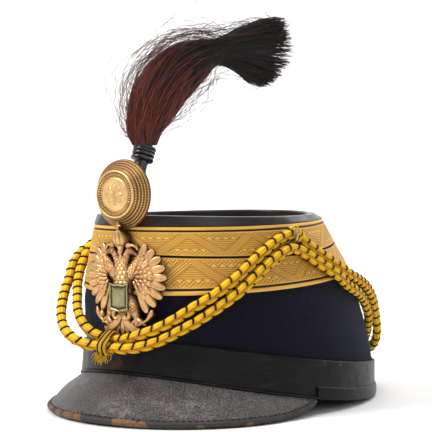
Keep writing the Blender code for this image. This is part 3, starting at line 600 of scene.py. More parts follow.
def scaled(colour: Colour, share: float) -> Colour:
    """Return a colour made darker or lighter."""
    return tuple(part * share for part in colour)


@dataclass(frozen=True)
class WoolFinish:
    """Dark felted wool cloth with a fine nap and a little lint."""

    name: str = "navy_wool"
    dark: Colour = (0.0036, 0.0034, 0.0080)
    light: Colour = (0.0080, 0.0076, 0.0160)
    lint: Colour = (0.11, 0.11, 0.14)
    nap: float = 0.00022

    def material(self) -> Material:
        """Lay out the cloth's material.

        Returns:
            The material.
        """
        paint = Paint(self.name, self.dark, 0.92)
        fibre = paint.noise(2600.0, 4.0, warp=1.5)
        cloud = paint.noise(45.0, 4.0)
        tone = paint.sum("MULTIPLY", paint.ramp(fibre, 0.3, 0.7), paint.ramp(cloud, 0.25, 0.75, 0.35, 1.0))
        cloth = paint.mix(tone, self.dark, self.light)
        specks = paint.ramp(paint.noise(620.0, 1.0), 0.79, 0.82)
        paint.feed("Base Color", paint.mix(specks, cloth, self.lint))
        paint.set("Sheen Weight", 0.06)
        paint.set("Sheen Roughness", 0.45)
        paint.set("Sheen Tint", (0.55, 0.58, 0.85, 1.0))
        paint.set("Specular IOR Level", 0.12)
        paint.relief((fibre, self.nap), (paint.noise(240.0, 3.0), 0.0003))
        return paint.material


class Mark(NamedTuple):
    """A mark on leather, a worn place or painted shade: where it is, how far it reaches and its colour."""

    place: Vector
    reach: float
    colour: Colour


@dataclass(frozen=True)
class LeatherFinish:
    """Old black leather: how glossy, grained, cracked and scuffed it is."""

    name: str
    colour: Colour = (0.010, 0.009, 0.010)
    worn: Colour = (0.045, 0.040, 0.038)
    roughness: float = 0.42
    grain: float = 0.00008
    wrinkles: float = 0.0
    coat: float = 0.0
    scuffs: float = 0.30
    gloss: float = 0.40
    marks: tuple[Mark, ...] = ()

    def material(self) -> Material:
        """Lay out the leather's material.

        Returns:
            The material.
        """
        paint = Paint(self.name, self.colour, self.roughness)
        cloud = paint.noise(60.0, 5.0)
        grain = paint.noise(1700.0, 3.0)
        streaks = paint.noise(70.0, 5.0, stretch=(1.0, 1.0, 7.0), warp=0.6)
        wear = paint.ramp(streaks, 0.52, 0.80, 0.0, self.scuffs)
        surface = paint.mix(paint.ramp(cloud, 0.30, 0.70), self.colour, scaled(self.colour, 1.5))
        surface = paint.mix(wear, surface, self.worn)
        layers = [(grain, self.grain), (cloud, 0.0006)]
        if self.wrinkles:
            hills = paint.noise(46.0, 3.0, warp=0.5)
            lines = paint.ramp(paint.sum("PINGPONG", hills, 0.026), 0.000, 0.012)
            # Painted shade along the crease lines of the wrinkles, which the relief also sinks.
            surface = paint.mix(paint.ramp(lines, 0.0, 1.0, 0.55, 0.0), surface, scaled(self.colour, 0.35))
            cracks = paint.ramp(paint.cells(430.0, bend=0.0030), 0.0, 0.13)
            broken = paint.sum("MAXIMUM", cracks, paint.ramp(paint.noise(95.0, 2.0), 0.42, 0.55))
            surface = paint.mix(paint.ramp(broken, 0.0, 0.7, 0.22, 0.0), surface, self.worn)
            layers += [(lines, self.wrinkles), (broken, self.wrinkles * 1.3)]
        rough = paint.noise(900.0, 2.0)
        for mark in self.marks:
            spot = paint.sum("MULTIPLY", paint.near(mark.place, mark.reach), paint.ramp(rough, 0.40, 0.62))
            surface = paint.mix(spot, surface, mark.colour)
        paint.feed("Base Color", surface)
        gloss = paint.ramp(paint.noise(130.0, 4.0), 0.25, 0.75, self.roughness - 0.09, self.roughness + 0.12)
        paint.feed("Roughness", gloss)
        paint.set("Specular IOR Level", self.gloss)
        paint.set("Coat Weight", self.coat)
        paint.set("Coat Roughness", 0.16)
        paint.relief(*layers)
        return paint.material


class Patch(NamedTuple):
    """A rubbed stretch of the peak's edge: its middle and how far it reaches."""

    place: Vector
    reach: float


@dataclass(frozen=True)
class WornEdgeFinish:
    """The peak's edge: black leather rubbed through to copper brown in patches."""

    name: str = "worn_edge"
    black: Colour = (0.016, 0.011, 0.009)
    copper: Colour = (0.110, 0.042, 0.012)
    pale: Colour = (0.260, 0.112, 0.038)
    patches: tuple[Patch, ...] = ()

    def material(self) -> Material:
        """Lay out the edge's material.

        Returns:
            The material.
        """
        paint = Paint(self.name, self.black, 0.55)
        ragged = paint.noise(330.0, 5.0, warp=0.8)
        patches = paint.ramp(ragged, 0.66, 0.74, 0.0, 0.6)
        for place, reach in self.patches:
            here = paint.ramp(paint.sum("ADD", paint.near(place, reach), ragged), 1.02, 1.16)
            patches = paint.sum("MAXIMUM", patches, here)
        fine = paint.noise(800.0, 4.0)
        copper = paint.mix(paint.ramp(fine, 0.35, 0.75), self.copper, self.pale)
        worn = paint.sum("MULTIPLY", patches, paint.ramp(fine, 0.22, 0.46))
        paint.feed("Base Color", paint.mix(worn, self.black, copper))
        paint.relief((fine, 0.00025), (paint.noise(210.0, 3.0), 0.0006))
        return paint.material


@dataclass(frozen=True)
class LaceFinish:
    """Woven gold thread, with painted shade in the hollows of its ribs, and black edge lines."""

    name: str = "gold_lace"
    # The colour of the painted shade in the weave's hollows.
    hollow: Colour = (0.240, 0.090, 0.005)
    ridge: Colour = (0.920, 0.530, 0.100)
    ink: Colour = (0.012, 0.010, 0.009)

    def material(self) -> Material:
        """Lay out the lace's material.

        Returns:
            The material.
        """
        paint = Paint(self.name, self.ridge, 0.50, 0.30)
        paint.set("Specular IOR Level", 0.3)
        thread = paint.noise(3200.0, 2.0)
        cloud = paint.noise(38.0, 3.0)
        # The ridge value kept on the points paints shade into the hollows of the weave.
        rib = paint.sum("MULTIPLY", paint.kept("ridge"), paint.ramp(thread, 0.25, 0.65, 0.72, 1.0))
        gold = paint.mix(rib, self.hollow, self.ridge)
        deep = paint.mix(rib, scaled(self.hollow, 0.72), scaled(self.ridge, 0.86))
        gold = paint.mix(paint.ramp(cloud, 0.35, 0.68), gold, deep)
        paint.feed("Base Color", paint.mix(paint.kept("ink"), gold, self.ink))
        paint.relief((thread, 0.00010))
        return paint.material


@dataclass(frozen=True)
class GiltFinish:
    """Stamped gilt metal, pale on its ridges, with brown painted shade in its hollows."""

    name: str
    pale: Colour = (0.740, 0.430, 0.185)
    # The colour of the painted shade in the hollows, also mixed in at random as tarnish.
    deep: Colour = (0.075, 0.026, 0.006)
    roughness: float = 0.30
    grain: float = 0.00010
    metallic: float = 0.75

    def material(self) -> Material:
        """Lay out the metal's material.

        Returns:
            The material.
        """
        paint = Paint(self.name, self.pale, self.roughness, self.metallic)
        fine = paint.noise(1900.0, 3.0)
        cloud = paint.noise(140.0, 4.0)
        # Painted shade: the value kept on the points darkens the hollows of the relief toward the deep
        # colour.
        hollow = paint.ramp(paint.kept("hollow"), 0.02, 0.70)
        toned = paint.mix(paint.ramp(cloud, 0.35, 0.70, 0.0, 0.35), self.pale, self.deep)
        paint.feed("Base Color", paint.mix(hollow, toned, self.deep))
        paint.feed("Roughness", paint.ramp(fine, 0.3, 0.7, self.roughness - 0.08, self.roughness + 0.12))
        paint.relief((fine, self.grain))
        return paint.material


@dataclass(frozen=True)
class PlainMetalFinish:
    """Tarnished sheet or wire with a cloudy surface."""

    name: str
    clean: Colour
    tarnish: Colour
    roughness: float = 0.38

    def material(self) -> Material:
        """Lay out the metal's material.

        Returns:
            The material.
        """
        paint = Paint(self.name, self.clean, self.roughness, 0.8)
        cloud = paint.noise(420.0, 5.0)
        paint.feed("Base Color", paint.mix(paint.ramp(cloud, 0.35, 0.68), self.clean, self.tarnish))
        paint.relief((paint.noise(2400.0, 2.0), 0.00004))
        return paint.material


@dataclass(frozen=True)
class ThreadFinish:
    """Soft dyed thread: its colour, and the painted shade between its strands."""

    name: str
    colour: Colour
    shade: Colour
    sheen: float = 0.0

    def material(self) -> Material:
        """Lay out the thread's material.

        Returns:
            The material.
        """
        paint = Paint(self.name, self.colour, 0.62)
        fibre = paint.noise(2300.0, 3.0)
        tone = paint.sum("MULTIPLY", paint.kept("lit"), paint.ramp(fibre, 0.25, 0.62, 0.55, 1.0))
        paint.feed("Base Color", paint.mix(tone, self.shade, self.colour))
        paint.set("Sheen Weight", self.sheen)
        paint.set("Specular IOR Level", 0.18)
        paint.relief((fibre, 0.00012))
        return paint.material


@dataclass(frozen=True)
class HairFinish:
    """Horsehair that runs from red-brown to black along each hair."""

    name: str = "horsehair"
    black: Colour = (0.0085, 0.0065, 0.0065)
    brown: Colour = (0.270, 0.050, 0.024)

    def material(self) -> Material:
        """Lay out the hair's material.

        Returns:
            The material.
        """
        paint = Paint(self.name, self.black, 0.38)
        paint.feed("Base Color", paint.mix(paint.kept("brown"), self.black, self.brown))
        paint.set("Specular IOR Level", 0.42)
        return paint.material


class Tree(Nodes):
    """A Geometry Nodes tree with named inputs, run on a piece and then applied."""

    def __init__(self, name: str, **asked: str) -> None:
        """Start a tree with a geometry input and output.

        Args:
            name: The tree's name.
            **asked: The kind of each named input, such as Int, Object or Material.
        """
        super().__init__(bpy.data.node_groups.new(name, "GeometryNodeTree"))
        sockets = self.tree.interface
        for way in ("INPUT", "OUTPUT"):
            sockets.new_socket("Geometry", in_out=way, socket_type="NodeSocketGeometry")
        self.keys = {}
        for label, kind in asked.items():
            socket = sockets.new_socket(label, in_out="INPUT", socket_type="NodeSocket" + kind)
            self.keys[label] = socket.identifier
        self.source = self.add("NodeGroupInput")
        self.result = self.add("NodeGroupOutput")

    def kept(self, name: str, kind: str = "FLOAT") -> Socket:
        """Return the values that are kept on the points under a name."""
        node = self.add("GeometryNodeInputNamedAttribute", {"data_type": kind}, Name=name)
        return node.outputs["Attribute"]

    def end(self, geometry: Socket) -> None:
        """Finish the tree: realize what is placed, give it its material and hand it out.

        Args:
            geometry: What the tree has made.
        """
        real = self.add("GeometryNodeRealizeInstances", Geometry=geometry)
        smooth = self.add("GeometryNodeSetShadeSmooth", Geometry=real.outputs["Geometry"])
        coloured = self.add("GeometryNodeSetMaterial", Geometry=smooth.outputs["Geometry"],
                            Material=self.source.outputs["Finish"])
        self.join(self.result.inputs["Geometry"], coloured.outputs["Geometry"])

    def run(self, name: str, mesh: bpy.types.Mesh, **values: int | Item | Material) -> Item:
        """Run the tree on a mesh and keep its result as a plain mesh.

        Args:
            name: The new piece's name.
            mesh: What goes in.
            **values: The named inputs.

        Returns:
            The new object, with no modifier.
        """
        piece = put(name, mesh)
        modifier = piece.modifiers.new(self.tree.name, "NODES")
        modifier.node_group = self.tree
        for label, value in values.items():
            modifier[self.keys[label]] = value
        graph = bpy.context.evaluated_depsgraph_get()
        made = bpy.data.meshes.new_from_object(piece.evaluated_get(graph), depsgraph=graph)
        piece.modifiers.clear()
        piece.data = made
        bpy.data.meshes.remove(mesh)
        return piece


def strand_tree() -> Tree:
    """Build the tree that turns wires into thin round rods.

    Returns:
        The tree.
    """
    tree = Tree("strands", Sides="Int", Finish="Material")
    line = tree.add("GeometryNodeMeshToCurve", Mesh=tree.source.outputs["Geometry"])
    sides = tree.source.outputs["Sides"]
    profile = tree.add("GeometryNodeCurvePrimitiveCircle", Resolution=sides, Radius=1.0)
    rod = tree.add("GeometryNodeCurveToMesh", Curve=line.outputs["Curve"], Fill_Caps=True,
                   Profile_Curve=profile.outputs["Curve"], Scale=tree.kept("thick"))
    tree.end(rod.outputs["Mesh"])
    return tree


def repeat_tree() -> Tree:
    """Build the tree that sets a copy of one unit on every point.

    Returns:
        The tree.
    """
    tree = Tree("repeats", Unit="Object", Finish="Material")
    unit = tree.add("GeometryNodeObjectInfo", Object=tree.source.outputs["Unit"])
    rotation = tree.add("FunctionNodeEulerToRotation", Euler=tree.kept("turn", "FLOAT_VECTOR"))
    copies = tree.add("GeometryNodeInstanceOnPoints", Points=tree.source.outputs["Geometry"],
                      Instance=unit.outputs["Geometry"], Rotation=rotation.outputs["Rotation"])
    tree.end(copies.outputs["Instances"])
    return tree


@dataclass
class Bench:
    """The two trees that every sub-assembly uses."""

    strands: Tree
    repeats: Tree

    def rods(self, name: str, lines: np.ndarray, thick: Numbers, material: Material, sides: int,
             **values: Numbers) -> Item:
        """Make thin rods along lines.

        Args:
            name: The piece's name.
            lines: Points by line and by place along it.
            thick: Radius, one number or one for each point.
            material: The rods' material.
            sides: Sides of a rod's section.
            **values: Numbers kept on the points.

        Returns:
            The rods as one object.
        """
        count, length = lines.shape[:2]
        corners = np.arange(count * length).reshape(count, length)
        edges = np.stack((corners[:, :-1], corners[:, 1:]), axis=-1).reshape(-1, 2)
        mesh = bpy.data.meshes.new(name)
        mesh.from_pydata(lines.reshape(-1, 3).tolist(), edges.tolist(), [])
        for label, numbers in {"thick": thick, **values}.items():
            keep(mesh, label, np.broadcast_to(numbers, (count, length)))
        return self.strands.run(name, mesh, Sides=sides, Finish=material)

    def copies(self, name: str, unit: Item, places: Sequence[Matrix], material: Material) -> Item:
        """Set copies of a unit at many places.

        Args:
            name: The piece's name.
            unit: The object to copy, which is removed.
            places: Where and how turned each copy is.
            material: The copies' material.

        Returns:
            The copies as one object.
        """
        mesh = bpy.data.meshes.new(name)
        mesh.from_pydata([tuple(place.translation) for place in places], [], [])
        turn = mesh.attributes.new("turn", "FLOAT_VECTOR", "POINT")
        turn.data.foreach_set("vector", [angle for place in places for angle in place.to_euler()])
        made = self.repeats.run(name, mesh, Unit=unit, Finish=material)
        bpy.data.objects.remove(unit, do_unlink=True)
        return made


def upright(place: Vector, along: Vector, outward: Vector) -> Matrix:
    """Return the place of a unit whose Z follows along and whose X faces outward.

    Args:
        place: Where the unit stands.
        along: Where its Z points.
        outward: Where its X points.

    Returns:
        The unit's matrix.
    """
    z = along.normalized()
    y = z.cross(outward).normalized()
    x = y.cross(z)
    turned = Matrix((x, y, z)).transposed().to_4x4()
    return Matrix.Translation(place) @ turned


@dataclass
class WallAndCrown:
    """The stiff cloth wall and the leather crown on top of it."""

    wall: Wall
    columns: int = 240
    foot: float = 0.0022
    leather: float = 0.0012
    sink: float = 0.0060
    sag: float = 0.0007
    swell: float = 0.0006
    seam_share: float = 0.92
    seam_depth: float = 0.00035

    def cloth(self) -> Item:
        """Make the wall under its cloth, open below.

        Returns:
            The wall.
        """
        angle = full_turn(self.columns)[:, None]
        level = np.linspace(Level.LOWER_EDGE, Level.RIM, 49)
        head = -(self.leather + 2 * GAP)
        rise = np.where(level < Level.BAND_TOP, self.foot * (Level.BAND_TOP - level), 0.0)
        rise = rise + np.where(level > Level.LACE_TOP, head * (level - Level.LACE_TOP), 0.0)
        few = np.arange(0, 49, 4)[::-1]
        levels = np.concatenate((level, level[few]))
        rises = np.concatenate((rise, rise[few]))
        swell = np.where((level > Level.BAND_TOP) & (level < Level.LACE_FOOT),
                         self.swell * np.sin(math.pi * (level - Level.BAND_TOP)) ** 2, 0.0)
        proud = np.concatenate((swell, np.full(len(few), -self.wall.thickness)))
        return ring_piece("cloth_wall", self.wall.points(levels, angle, proud, rises))

    def crown(self) -> Item:
        """Make the crown: an outer flap, a raised rim, a sunken top and its underside.

        Returns:
            The crown.
        """
        inner = -(self.wall.thickness + GAP + self.leather)
        under = -(self.wall.thickness + GAP)
        outside = GAP + self.leather
        round_off = self.leather * 0.45
        rim = float(Level.RIM)
        section = [(rim, inner + 0.0016, -self.sink + 0.0001),
                   (rim, inner + 0.0004, -self.sink + 0.0006)]
        section += [(rim, inner, -self.sink * share) for share in (0.8, 0.6, 0.4, 0.25)]
        for turn in np.linspace(math.pi, 0.0, 9):
            across = (inner + outside) / 2 + (outside - inner) / 2 * math.cos(turn)
            section.append((rim, across, -round_off * 2 + round_off * 2 * math.sin(turn) ** 0.55))
        section += [(rim - down, outside, GAP * down - 2 * round_off * (1.0 - down))
                    for down in np.linspace(0.12, 0.94, 10)]
        section += [(rim - 1.0, outside - 0.0001, GAP + 0.0001), (rim - 1.0, outside - 0.0005, GAP),
                    (rim - 1.0, GAP, GAP)]
        section += [(rim, GAP, -self.leather - GAP), (rim, under, -self.leather - GAP),
                    (rim, under, -self.sink - self.leather)]
        angle = full_turn(self.columns)
        rows = [self.wall.points(level, angle, proud, rise) for level, proud, rise in section]
        middle = (self.wall.points(rim, 0.0) + self.wall.points(rim, math.pi)) / 2
        top = []
        for share in (0.02, 0.1, 0.2, 0.32, 0.45, 0.58, 0.70, 0.80, 0.875, 0.905, 0.92, 0.935, 0.97):
            row = middle + (rows[0] - middle) * share
            seam = self.seam_depth * math.exp(-((share - self.seam_share) / 0.012) ** 2)
            row[:, 2] = rows[0][:, 2] - self.sag * (1.0 - share ** 2) - seam
            top.append(row)
        under_side = [middle + (rows[-1] - middle) * share for share in (0.7, 0.35)]
        for row in under_side:
            row[:, 2] = rows[-1][:, 2] - self.sag * 0.6
        grid = np.stack(top + rows + under_side)
        return turned_piece("crown_cover", grid, grid[0].mean(axis=0), grid[-1].mean(axis=0))

    def build(self, cloth: Material, leather: Material) -> None:
        """Make and dress both pieces.

        Args:
            cloth: The wool's material.
            leather: The crown's material.
        """
        dress(self.cloth(), cloth, ["cloth_body"])
        dress(self.crown(), leather, ["crown_leather"])


@dataclass
class LaceBand:
    """One woven band: a pattern of ribs, a black picot line and a plain narrow strip."""

    wall: Wall
    name: str
    edge: float
    step: float
    meet: float
    repeats: int = 12
    columns: int = 1008
    rows: int = 42
    thickness: float = LACE_THICKNESS
    groove: float = 0.0006
    relief: float = 0.00040
    strip_share: float = 0.112
    line_share: float = 0.062
    group_half: float = 0.108
    level_ribs: float = 12.0
    teeth_height: float = 0.28
    loop_pitch: float = 0.0017

    def pattern(self, along: np.ndarray, share: np.ndarray) -> np.ndarray:
        """Give the height of the weave, 0 in its hollows and 1 on its ribs; the same value sets its painted
        shade.

        Args:
            along: Repeats travelled round the band.
            share: Height in the pattern, 0 at its foot and 1 at its top.

        Returns:
            The height at each place.
        """
        folded = np.abs((along % 1.0) * 2.0 - 1.0)
        across = (folded - share) / 2.0
        diagonal = swing(across / (self.group_half / 2))
        level_ribs = swing(share * self.level_ribs)
        teeth = np.abs(((along * 8.0) % 1.0) * 2.0 - 1.0)
        from_edge = np.where(folded > share, share, 1.0 - share)
        zigzag = (from_edge / self.teeth_height - 0.08) * 1.6 - teeth
        tooth = swing(np.clip(zigzag, -1.5, 0.70) * 1.30)
        fill = np.where(from_edge < self.teeth_height, tooth, level_ribs * 0.92)
        weave = np.where(np.abs(across) < self.group_half, diagonal, fill)
        border = np.exp(-((np.abs(across) - self.group_half * 1.05) / 0.009) ** 2)
        return np.clip(0.14 + 0.86 * weave - 0.5 * border, 0.0, 1.0)

    def build(self, material: Material, node: str) -> None:
        """Make and dress the band.

        Args:
            material: The lace's material.
            node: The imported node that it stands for.
        """
        angles, length = self.wall.even_angles((self.edge + self.meet) / 2, self.columns)
        step = self.step
        strip = self.edge + step * self.strip_share
        line = strip + step * self.line_share
        skin = GAP + self.thickness
        low = skin - self.groove
        edge, meet = self.edge, self.meet
        # Each row is a level, how proud, the ridge value and the ink; a low ridge value paints shade into the
        # grooves and along the edges.
        before = [(edge, GAP, 0.0, 0.0), (edge, skin - 0.0003, 0.8, 0.0),
                  (edge + step * 0.02, skin, 1.0, 0.0), (edge + step * 0.056, skin + 0.0001, 1.0, 0.0),
                  (strip - step * 0.015, skin, 1.0, 0.0), (strip, skin - 0.0003, 0.7, 0.3),
                  (strip + step * 0.004, low, 0.0, 1.0), (line - step * 0.018, low, 0.0, 1.0),
                  (line - step * 0.004, low + 0.0001, 0.0, 1.0), (line, skin - 0.0001, 1.0, 0.0),
                  (line + step * 0.030, skin + 0.0001, 1.0, 0.0)]
        after = [(meet - step * 0.040, skin + 0.0001, 1.0, 0.0), (meet - step * 0.022, skin, 1.0, 0.0),
                 (meet - step * 0.006, skin - 0.0002, 0.4, 0.8), (meet, skin - 0.0006, 0.0, 1.0),
                 (meet, GAP, 0.0, 1.0)]
        woven = np.linspace(line + step * 0.045, meet - step * 0.052, self.rows)
        first, last = len(before), len(before) + self.rows
        section = before + [(level, skin, 0.5, 0.0) for level in woven] + after
        level, proud, ridge, ink = np.array(section).T
        along = (np.arange(self.columns) / self.columns * self.repeats)[:, None]
        share = (woven - woven[0]) / (woven[-1] - woven[0])
        if self.step < 0:
            share = 1.0 - share
        weave = self.pattern(along, share[None, :])
        full = (self.columns, len(level))
        proud, ridge, ink = (np.broadcast_to(row, full).copy() for row in (proud, ridge, ink))
        ridge[:, first:last] = weave
        proud[:, first:last] += (weave - 0.8) * self.relief
        turns = round(length / self.loop_pitch)
        loops = swing(np.arange(self.columns) * turns / self.columns)
        # Painted shade between the loops of the edge strip.
        ridge[:, 1:6] *= (0.84 + 0.16 * loops)[:, None]
        for row in (9, last + 1):
            ink[:, row] = loops * 0.85
        ink[:, 5] = np.roll(loops, 2) * 0.6
        points = self.wall.points(level, angles[:, None], proud)
        dress(ring_piece(self.name, points, ridge=ridge, ink=ink), material, [node])


@dataclass
class FootLeather:
    """The base band and the rolled leather that binds the lower edge."""

    wall: Wall
    columns: int = 320
    band_thickness: float = 0.0016
    roll_thickness: float = 0.0009
    roll_floor: float = 0.0019
    roll_level: float = 0.26

    def band(self) -> Item:
        """Make the band, a little uneven as old leather lies.

        Returns:
            The band.
        """
        foot = self.roll_floor + GAP
        outside = GAP + self.band_thickness
        level = np.linspace(0.0, 1.0, 25)
        section = [(0.0, GAP, foot), (0.0, outside * 0.6, foot)]
        section += [(share, outside, foot * (1.0 - share) - 0.0006 * (share > 0.99)) for share in level]
        section += [(1.0, outside - 0.0002, -0.0002), (1.0, outside - 0.0006, 0.0), (1.0, GAP, 0.0)]
        section += [(share, GAP, foot * (1.0 - share)) for share in (0.75, 0.5, 0.25)]
        angle = full_turn(self.columns)
        levels, prouds, rises = np.array(section).T
        grid = self.wall.points(levels, angle[:, None], prouds, rises)
        for row in range(2, 27):
            for column in range(self.columns):
                spot = Vector(grid[column, row])
                swell = noise.noise(spot * 38.0) * 0.00022 + noise.noise(spot * 150.0) * 0.00006
                out = self.wall.outward(float(levels[row]), float(angle[column]))
                grid[column, row] += np.array(out) * (swell - 0.00004)
        return ring_piece("base_leather", grid)

    def roll(self) -> Item:
        """Make the rolled binding, bulged outside, with its ends left open and dark.

        Returns:
            The binding.
        """
        slot_out = GAP + self.band_thickness + GAP
        outside = slot_out + self.roll_thickness
        slot_in = -(self.wall.thickness + GAP)
        inside = slot_in - self.roll_thickness
        lean = (self.roll_floor + GAP) * (1.0 - self.roll_level)
        lip = self.roll_level
        section = []
        for turn in np.linspace(-0.5 * math.pi, 0.5 * math.pi, 15):
            share = (math.sin(turn) + 1.0) / 2.0
            bulge = math.cos(turn) ** 0.7
            out = slot_out - 0.0001 + (outside - slot_out + 0.0002) * bulge
            section.append((lip * share, out, lean * share))
        section += [(lip * 0.9, slot_out, lean * 0.9), (0.0, slot_out, self.roll_floor),
                    (0.0, slot_in, self.roll_floor), (lip, slot_in, lean),
                    (lip, inside + 0.0003, lean + 0.0001), (lip * 0.9, inside, lean * 0.9),
                    (lip * 0.4, inside - 0.0002, lean * 0.4),
                    (0.0, inside + 0.0002, 0.0008), (0.0, inside + 0.0009, 0.0001)]
        start = PEAK_HALF_ANGLE * PEAK_CUT + GAP / (self.wall.width / 2)
        angle = np.linspace(start, 2 * math.pi - start, 300)
        levels, prouds, rises = np.array(section).T
        grid = self.wall.points(levels, angle[:, None], prouds, rises)
        heart = grid[:, 2:13].mean(axis=1)
        caps = []
        for end, inner in ((0, 6), (-1, -7)):
            inward = grid[inner][0] - grid[end][0]
            caps.append([grid[end] * 0.35 + heart[end] * 0.65 + inward * 0.9,
                         grid[end] * 0.72 + heart[end] * 0.28 + inward * 0.05])
        return bar_piece("edge_binding", np.concatenate((caps[0], grid, caps[1][::-1])))

    def build(self, leather: Material) -> None:
        """Make and dress both pieces."""
        dress(self.band(), leather, ["base_band"])
        dress(self.roll(), leather, ["edge_roll"])


@dataclass
class Peak:
    """The sloping peak, the folded strip on its edge and the stitched welt in its seam."""

    wall: Wall
    depth: float = 0.0361
    thickness: float = 0.0018
    bulge: float = 0.0016
    front_slope: float = math.radians(39.5)
    side_slope: float = math.radians(61.0)
    edging_cut: float = 0.955
    edging_width: float = 0.0026
    edging_proud: float = 0.0012
    edging_lip: float = 0.0007
    band_outside: float = 0.0019
    welt_height: float = 0.0016
    stitch_pitch: float = 0.0031

    def frame(self, angle: float) -> tuple[Vector, Vector, Vector, float]:
        """Lay out the peak at one angle.

        Args:
            angle: Angle round the hat.

        Returns:
            The seam point, the way down the peak, the way out of its face, and its depth.
        """
        share = abs(angle) / PEAK_HALF_ANGLE
        seam = self.wall.point(0.0, angle, self.band_outside)
        depth = self.depth * (1.0 - share ** 2)
        slope = self.front_slope + (self.side_slope - self.front_slope) * share ** 2
        under = self.thickness + GAP + self.edging_lip
        fall = seam.z - under * math.cos(slope) - self.edging_proud * math.sin(slope)
        if depth * math.sin(slope) > fall:
            slope = math.asin(fall / depth)
        out = self.wall.outward(0.0, angle)
        along = out * math.cos(slope) - UP * math.sin(slope)
        face = out * math.sin(slope) + UP * math.cos(slope)
        return seam, along, face, depth

    def wrinkle(self, place: Vector) -> float:
        """Return the height of the old leather's folds and cracks at a place.

        Args:
            place: A place on the peak.

        Returns:
            The height.
        """
        spot = place.copy()
        spot.x += noise.noise(place * 45.0) * 0.010
        spot.z += noise.noise(place * 55.0 + UP) * 0.010
        folds = abs(noise.noise(spot * 190.0)) ** 0.7
        strength = 0.5 + 0.5 * noise.noise(place * 28.0)
        return (0.45 - folds) * 0.00016 * strength + noise.noise(place * 16.0) * 0.00035

    def leather(self) -> Item:
        """Make the peak with the flange that is sewn under the wall.

        Returns:
            The peak.
        """
        limit = PEAK_HALF_ANGLE * PEAK_CUT
        shares = np.concatenate((np.linspace(0.0, 0.94, 50), [0.97, 1.0]))
        stations = []
        for angle in np.linspace(-limit, limit, 380):
            seam, along, face, depth = self.frame(angle)
            bulge = self.bulge * depth / self.depth
            upper = []
            for share in shares:
                point = seam + along * (depth * share) + face * (bulge * math.sin(math.pi * share) ** 2)
                fade = min(1.0, share * 9.0, (1.0 - share) * 12.0)
                upper.append(point + face * self.wrinkle(point) * max(fade, 0.0))
            lower = []
            for share in (1.0, 0.9, 0.7, 0.45, 0.2):
                lift = bulge * math.sin(math.pi * share) ** 2 - self.thickness
                lower.append(seam + along * (depth * share) + face * lift)
            inner = self.wall.point(0.0, angle, -self.wall.thickness)
            stations.append([inner] + upper + lower + [inner - UP * self.thickness])
        return bar_piece("peak_leather", np.array([[list(point) for point in row] for row in stations]))

    def edging(self) -> Item:
        """Make the folded strip that binds the edge, rubbed and uneven.

        Returns:
            The strip.
        """
        top = GAP + self.edging_lip
        under = -(self.thickness + GAP)
        bottom = under - self.edging_lip
        limit = PEAK_HALF_ANGLE * self.edging_cut
        section = [(-self.edging_width, GAP), (-self.edging_width + 0.0001, top * 0.8),
                   (-self.edging_width * 0.75, top)]
        middle = (top + bottom) / 2
        half = (top - bottom) / 2
        for turn in np.linspace(0.5 * math.pi, -0.5 * math.pi, 13):
            section.append((self.edging_proud * math.cos(turn) ** 0.8, middle + half * math.sin(turn)))
        section += [(-self.edging_width, bottom), (-self.edging_width, under), (GAP, under), (GAP, GAP)]
        stations = []
        for angle in np.linspace(-limit, limit, 420):
            seam, along, face, depth = self.frame(angle)
            edge = seam + along * depth
            row = []
            for index, (out, lift) in enumerate(section):
                point = edge + along * out + face * lift
                if 0 < index < 16:
                    rub = noise.noise(point * 230.0) * 0.00025 + noise.noise(point * 900.0) * 0.00008
                    point += along * rub * 0.6 + face * rub * (1.0 if lift > middle else -0.4)
                point.z = max(point.z, 0.0)
                row.append(list(point))
            stations.append(row)
        return bar_piece("peak_binding", np.array(stations))

    def welt(self) -> Item:
        """Make the welt that shows as a lighter strip between two dark seam lines.

        Returns:
            The welt.
        """
        limit = PEAK_HALF_ANGLE * PEAK_CUT
        outside = self.band_outside + GAP
        section = [(-self.wall.thickness, GAP), (outside - 0.0003, GAP)]
        for turn in np.linspace(-0.5 * math.pi, 0.5 * math.pi, 9):
            height = GAP + self.welt_height / 2 * (1.0 + math.sin(turn))
            section.append((outside + 0.0005 * math.cos(turn), height))
        section.append((-self.wall.thickness, self.welt_height + GAP))
        prouds, rises = np.array(section).T
        angle = np.linspace(-limit, limit, 300)
        return bar_piece("welt_leather", self.wall.points(0.0, angle[:, None], prouds, rises))

    def stitches(self, bench: Bench, thread: Material) -> Item:
        """Sew a row of short stitches along the edging.

        Args:
            bench: The shared trees.
            thread: The thread's material.

        Returns:
            The stitches as one object.
        """
        limit = PEAK_HALF_ANGLE * self.edging_cut * 0.97
        unit = capsule("stitch", 0.0019, 0.00028)
        places = []
        angle = -limit
        while angle < limit:
            seam, along, face, depth = self.frame(angle)
            spot = seam + along * (depth - self.edging_width * 0.78)
            places.append(upright(spot + face * (GAP + self.edging_lip + 0.00005), along.cross(face), face))
            angle += self.stitch_pitch / 0.10
        return bench.copies("peak_stitches", unit, places, thread)

    def build(self, bench: Bench, leather: Material, edge: Material, welt: Material,
              thread: Material) -> None:
        """Make and dress the peak's pieces.

        Args:
            bench: The shared trees.
            leather: The peak's material.
            edge: The edging's material.
            welt: The welt's material.
            thread: The stitches' material.
        """
        dress(self.leather(), leather, ["peak"])
        dress(self.edging(), edge, ["peak_edging"])
        dress(self.welt(), welt, ["peak_welt"])
        dress(self.stitches(bench, thread))


def capsule(name: str, length: float, radius: float, sides: int = 6) -> Item:
    """Make a short rod with rounded ends along Z, as the unit of a repeat.

    Args:
        name: The unit's name.
        length: Its whole length.
        radius: Its radius.
        sides: Sides of its section.

    Returns:
        The unit.
    """
    half = length / 2 - radius
    profile = [(-half - radius * 0.75, 0.62), (-half, 1.0), (half, 1.0), (half + radius * 0.75, 0.62)]
    turn = full_turn(sides)
    rings = [[(radius * wide * math.cos(t), radius * wide * math.sin(t), along) for t in turn]
             for along, wide in profile]
    ends = (0.0, 0.0, -length / 2), (0.0, 0.0, length / 2)
    return turned_piece(name, np.array(rings), *ends)


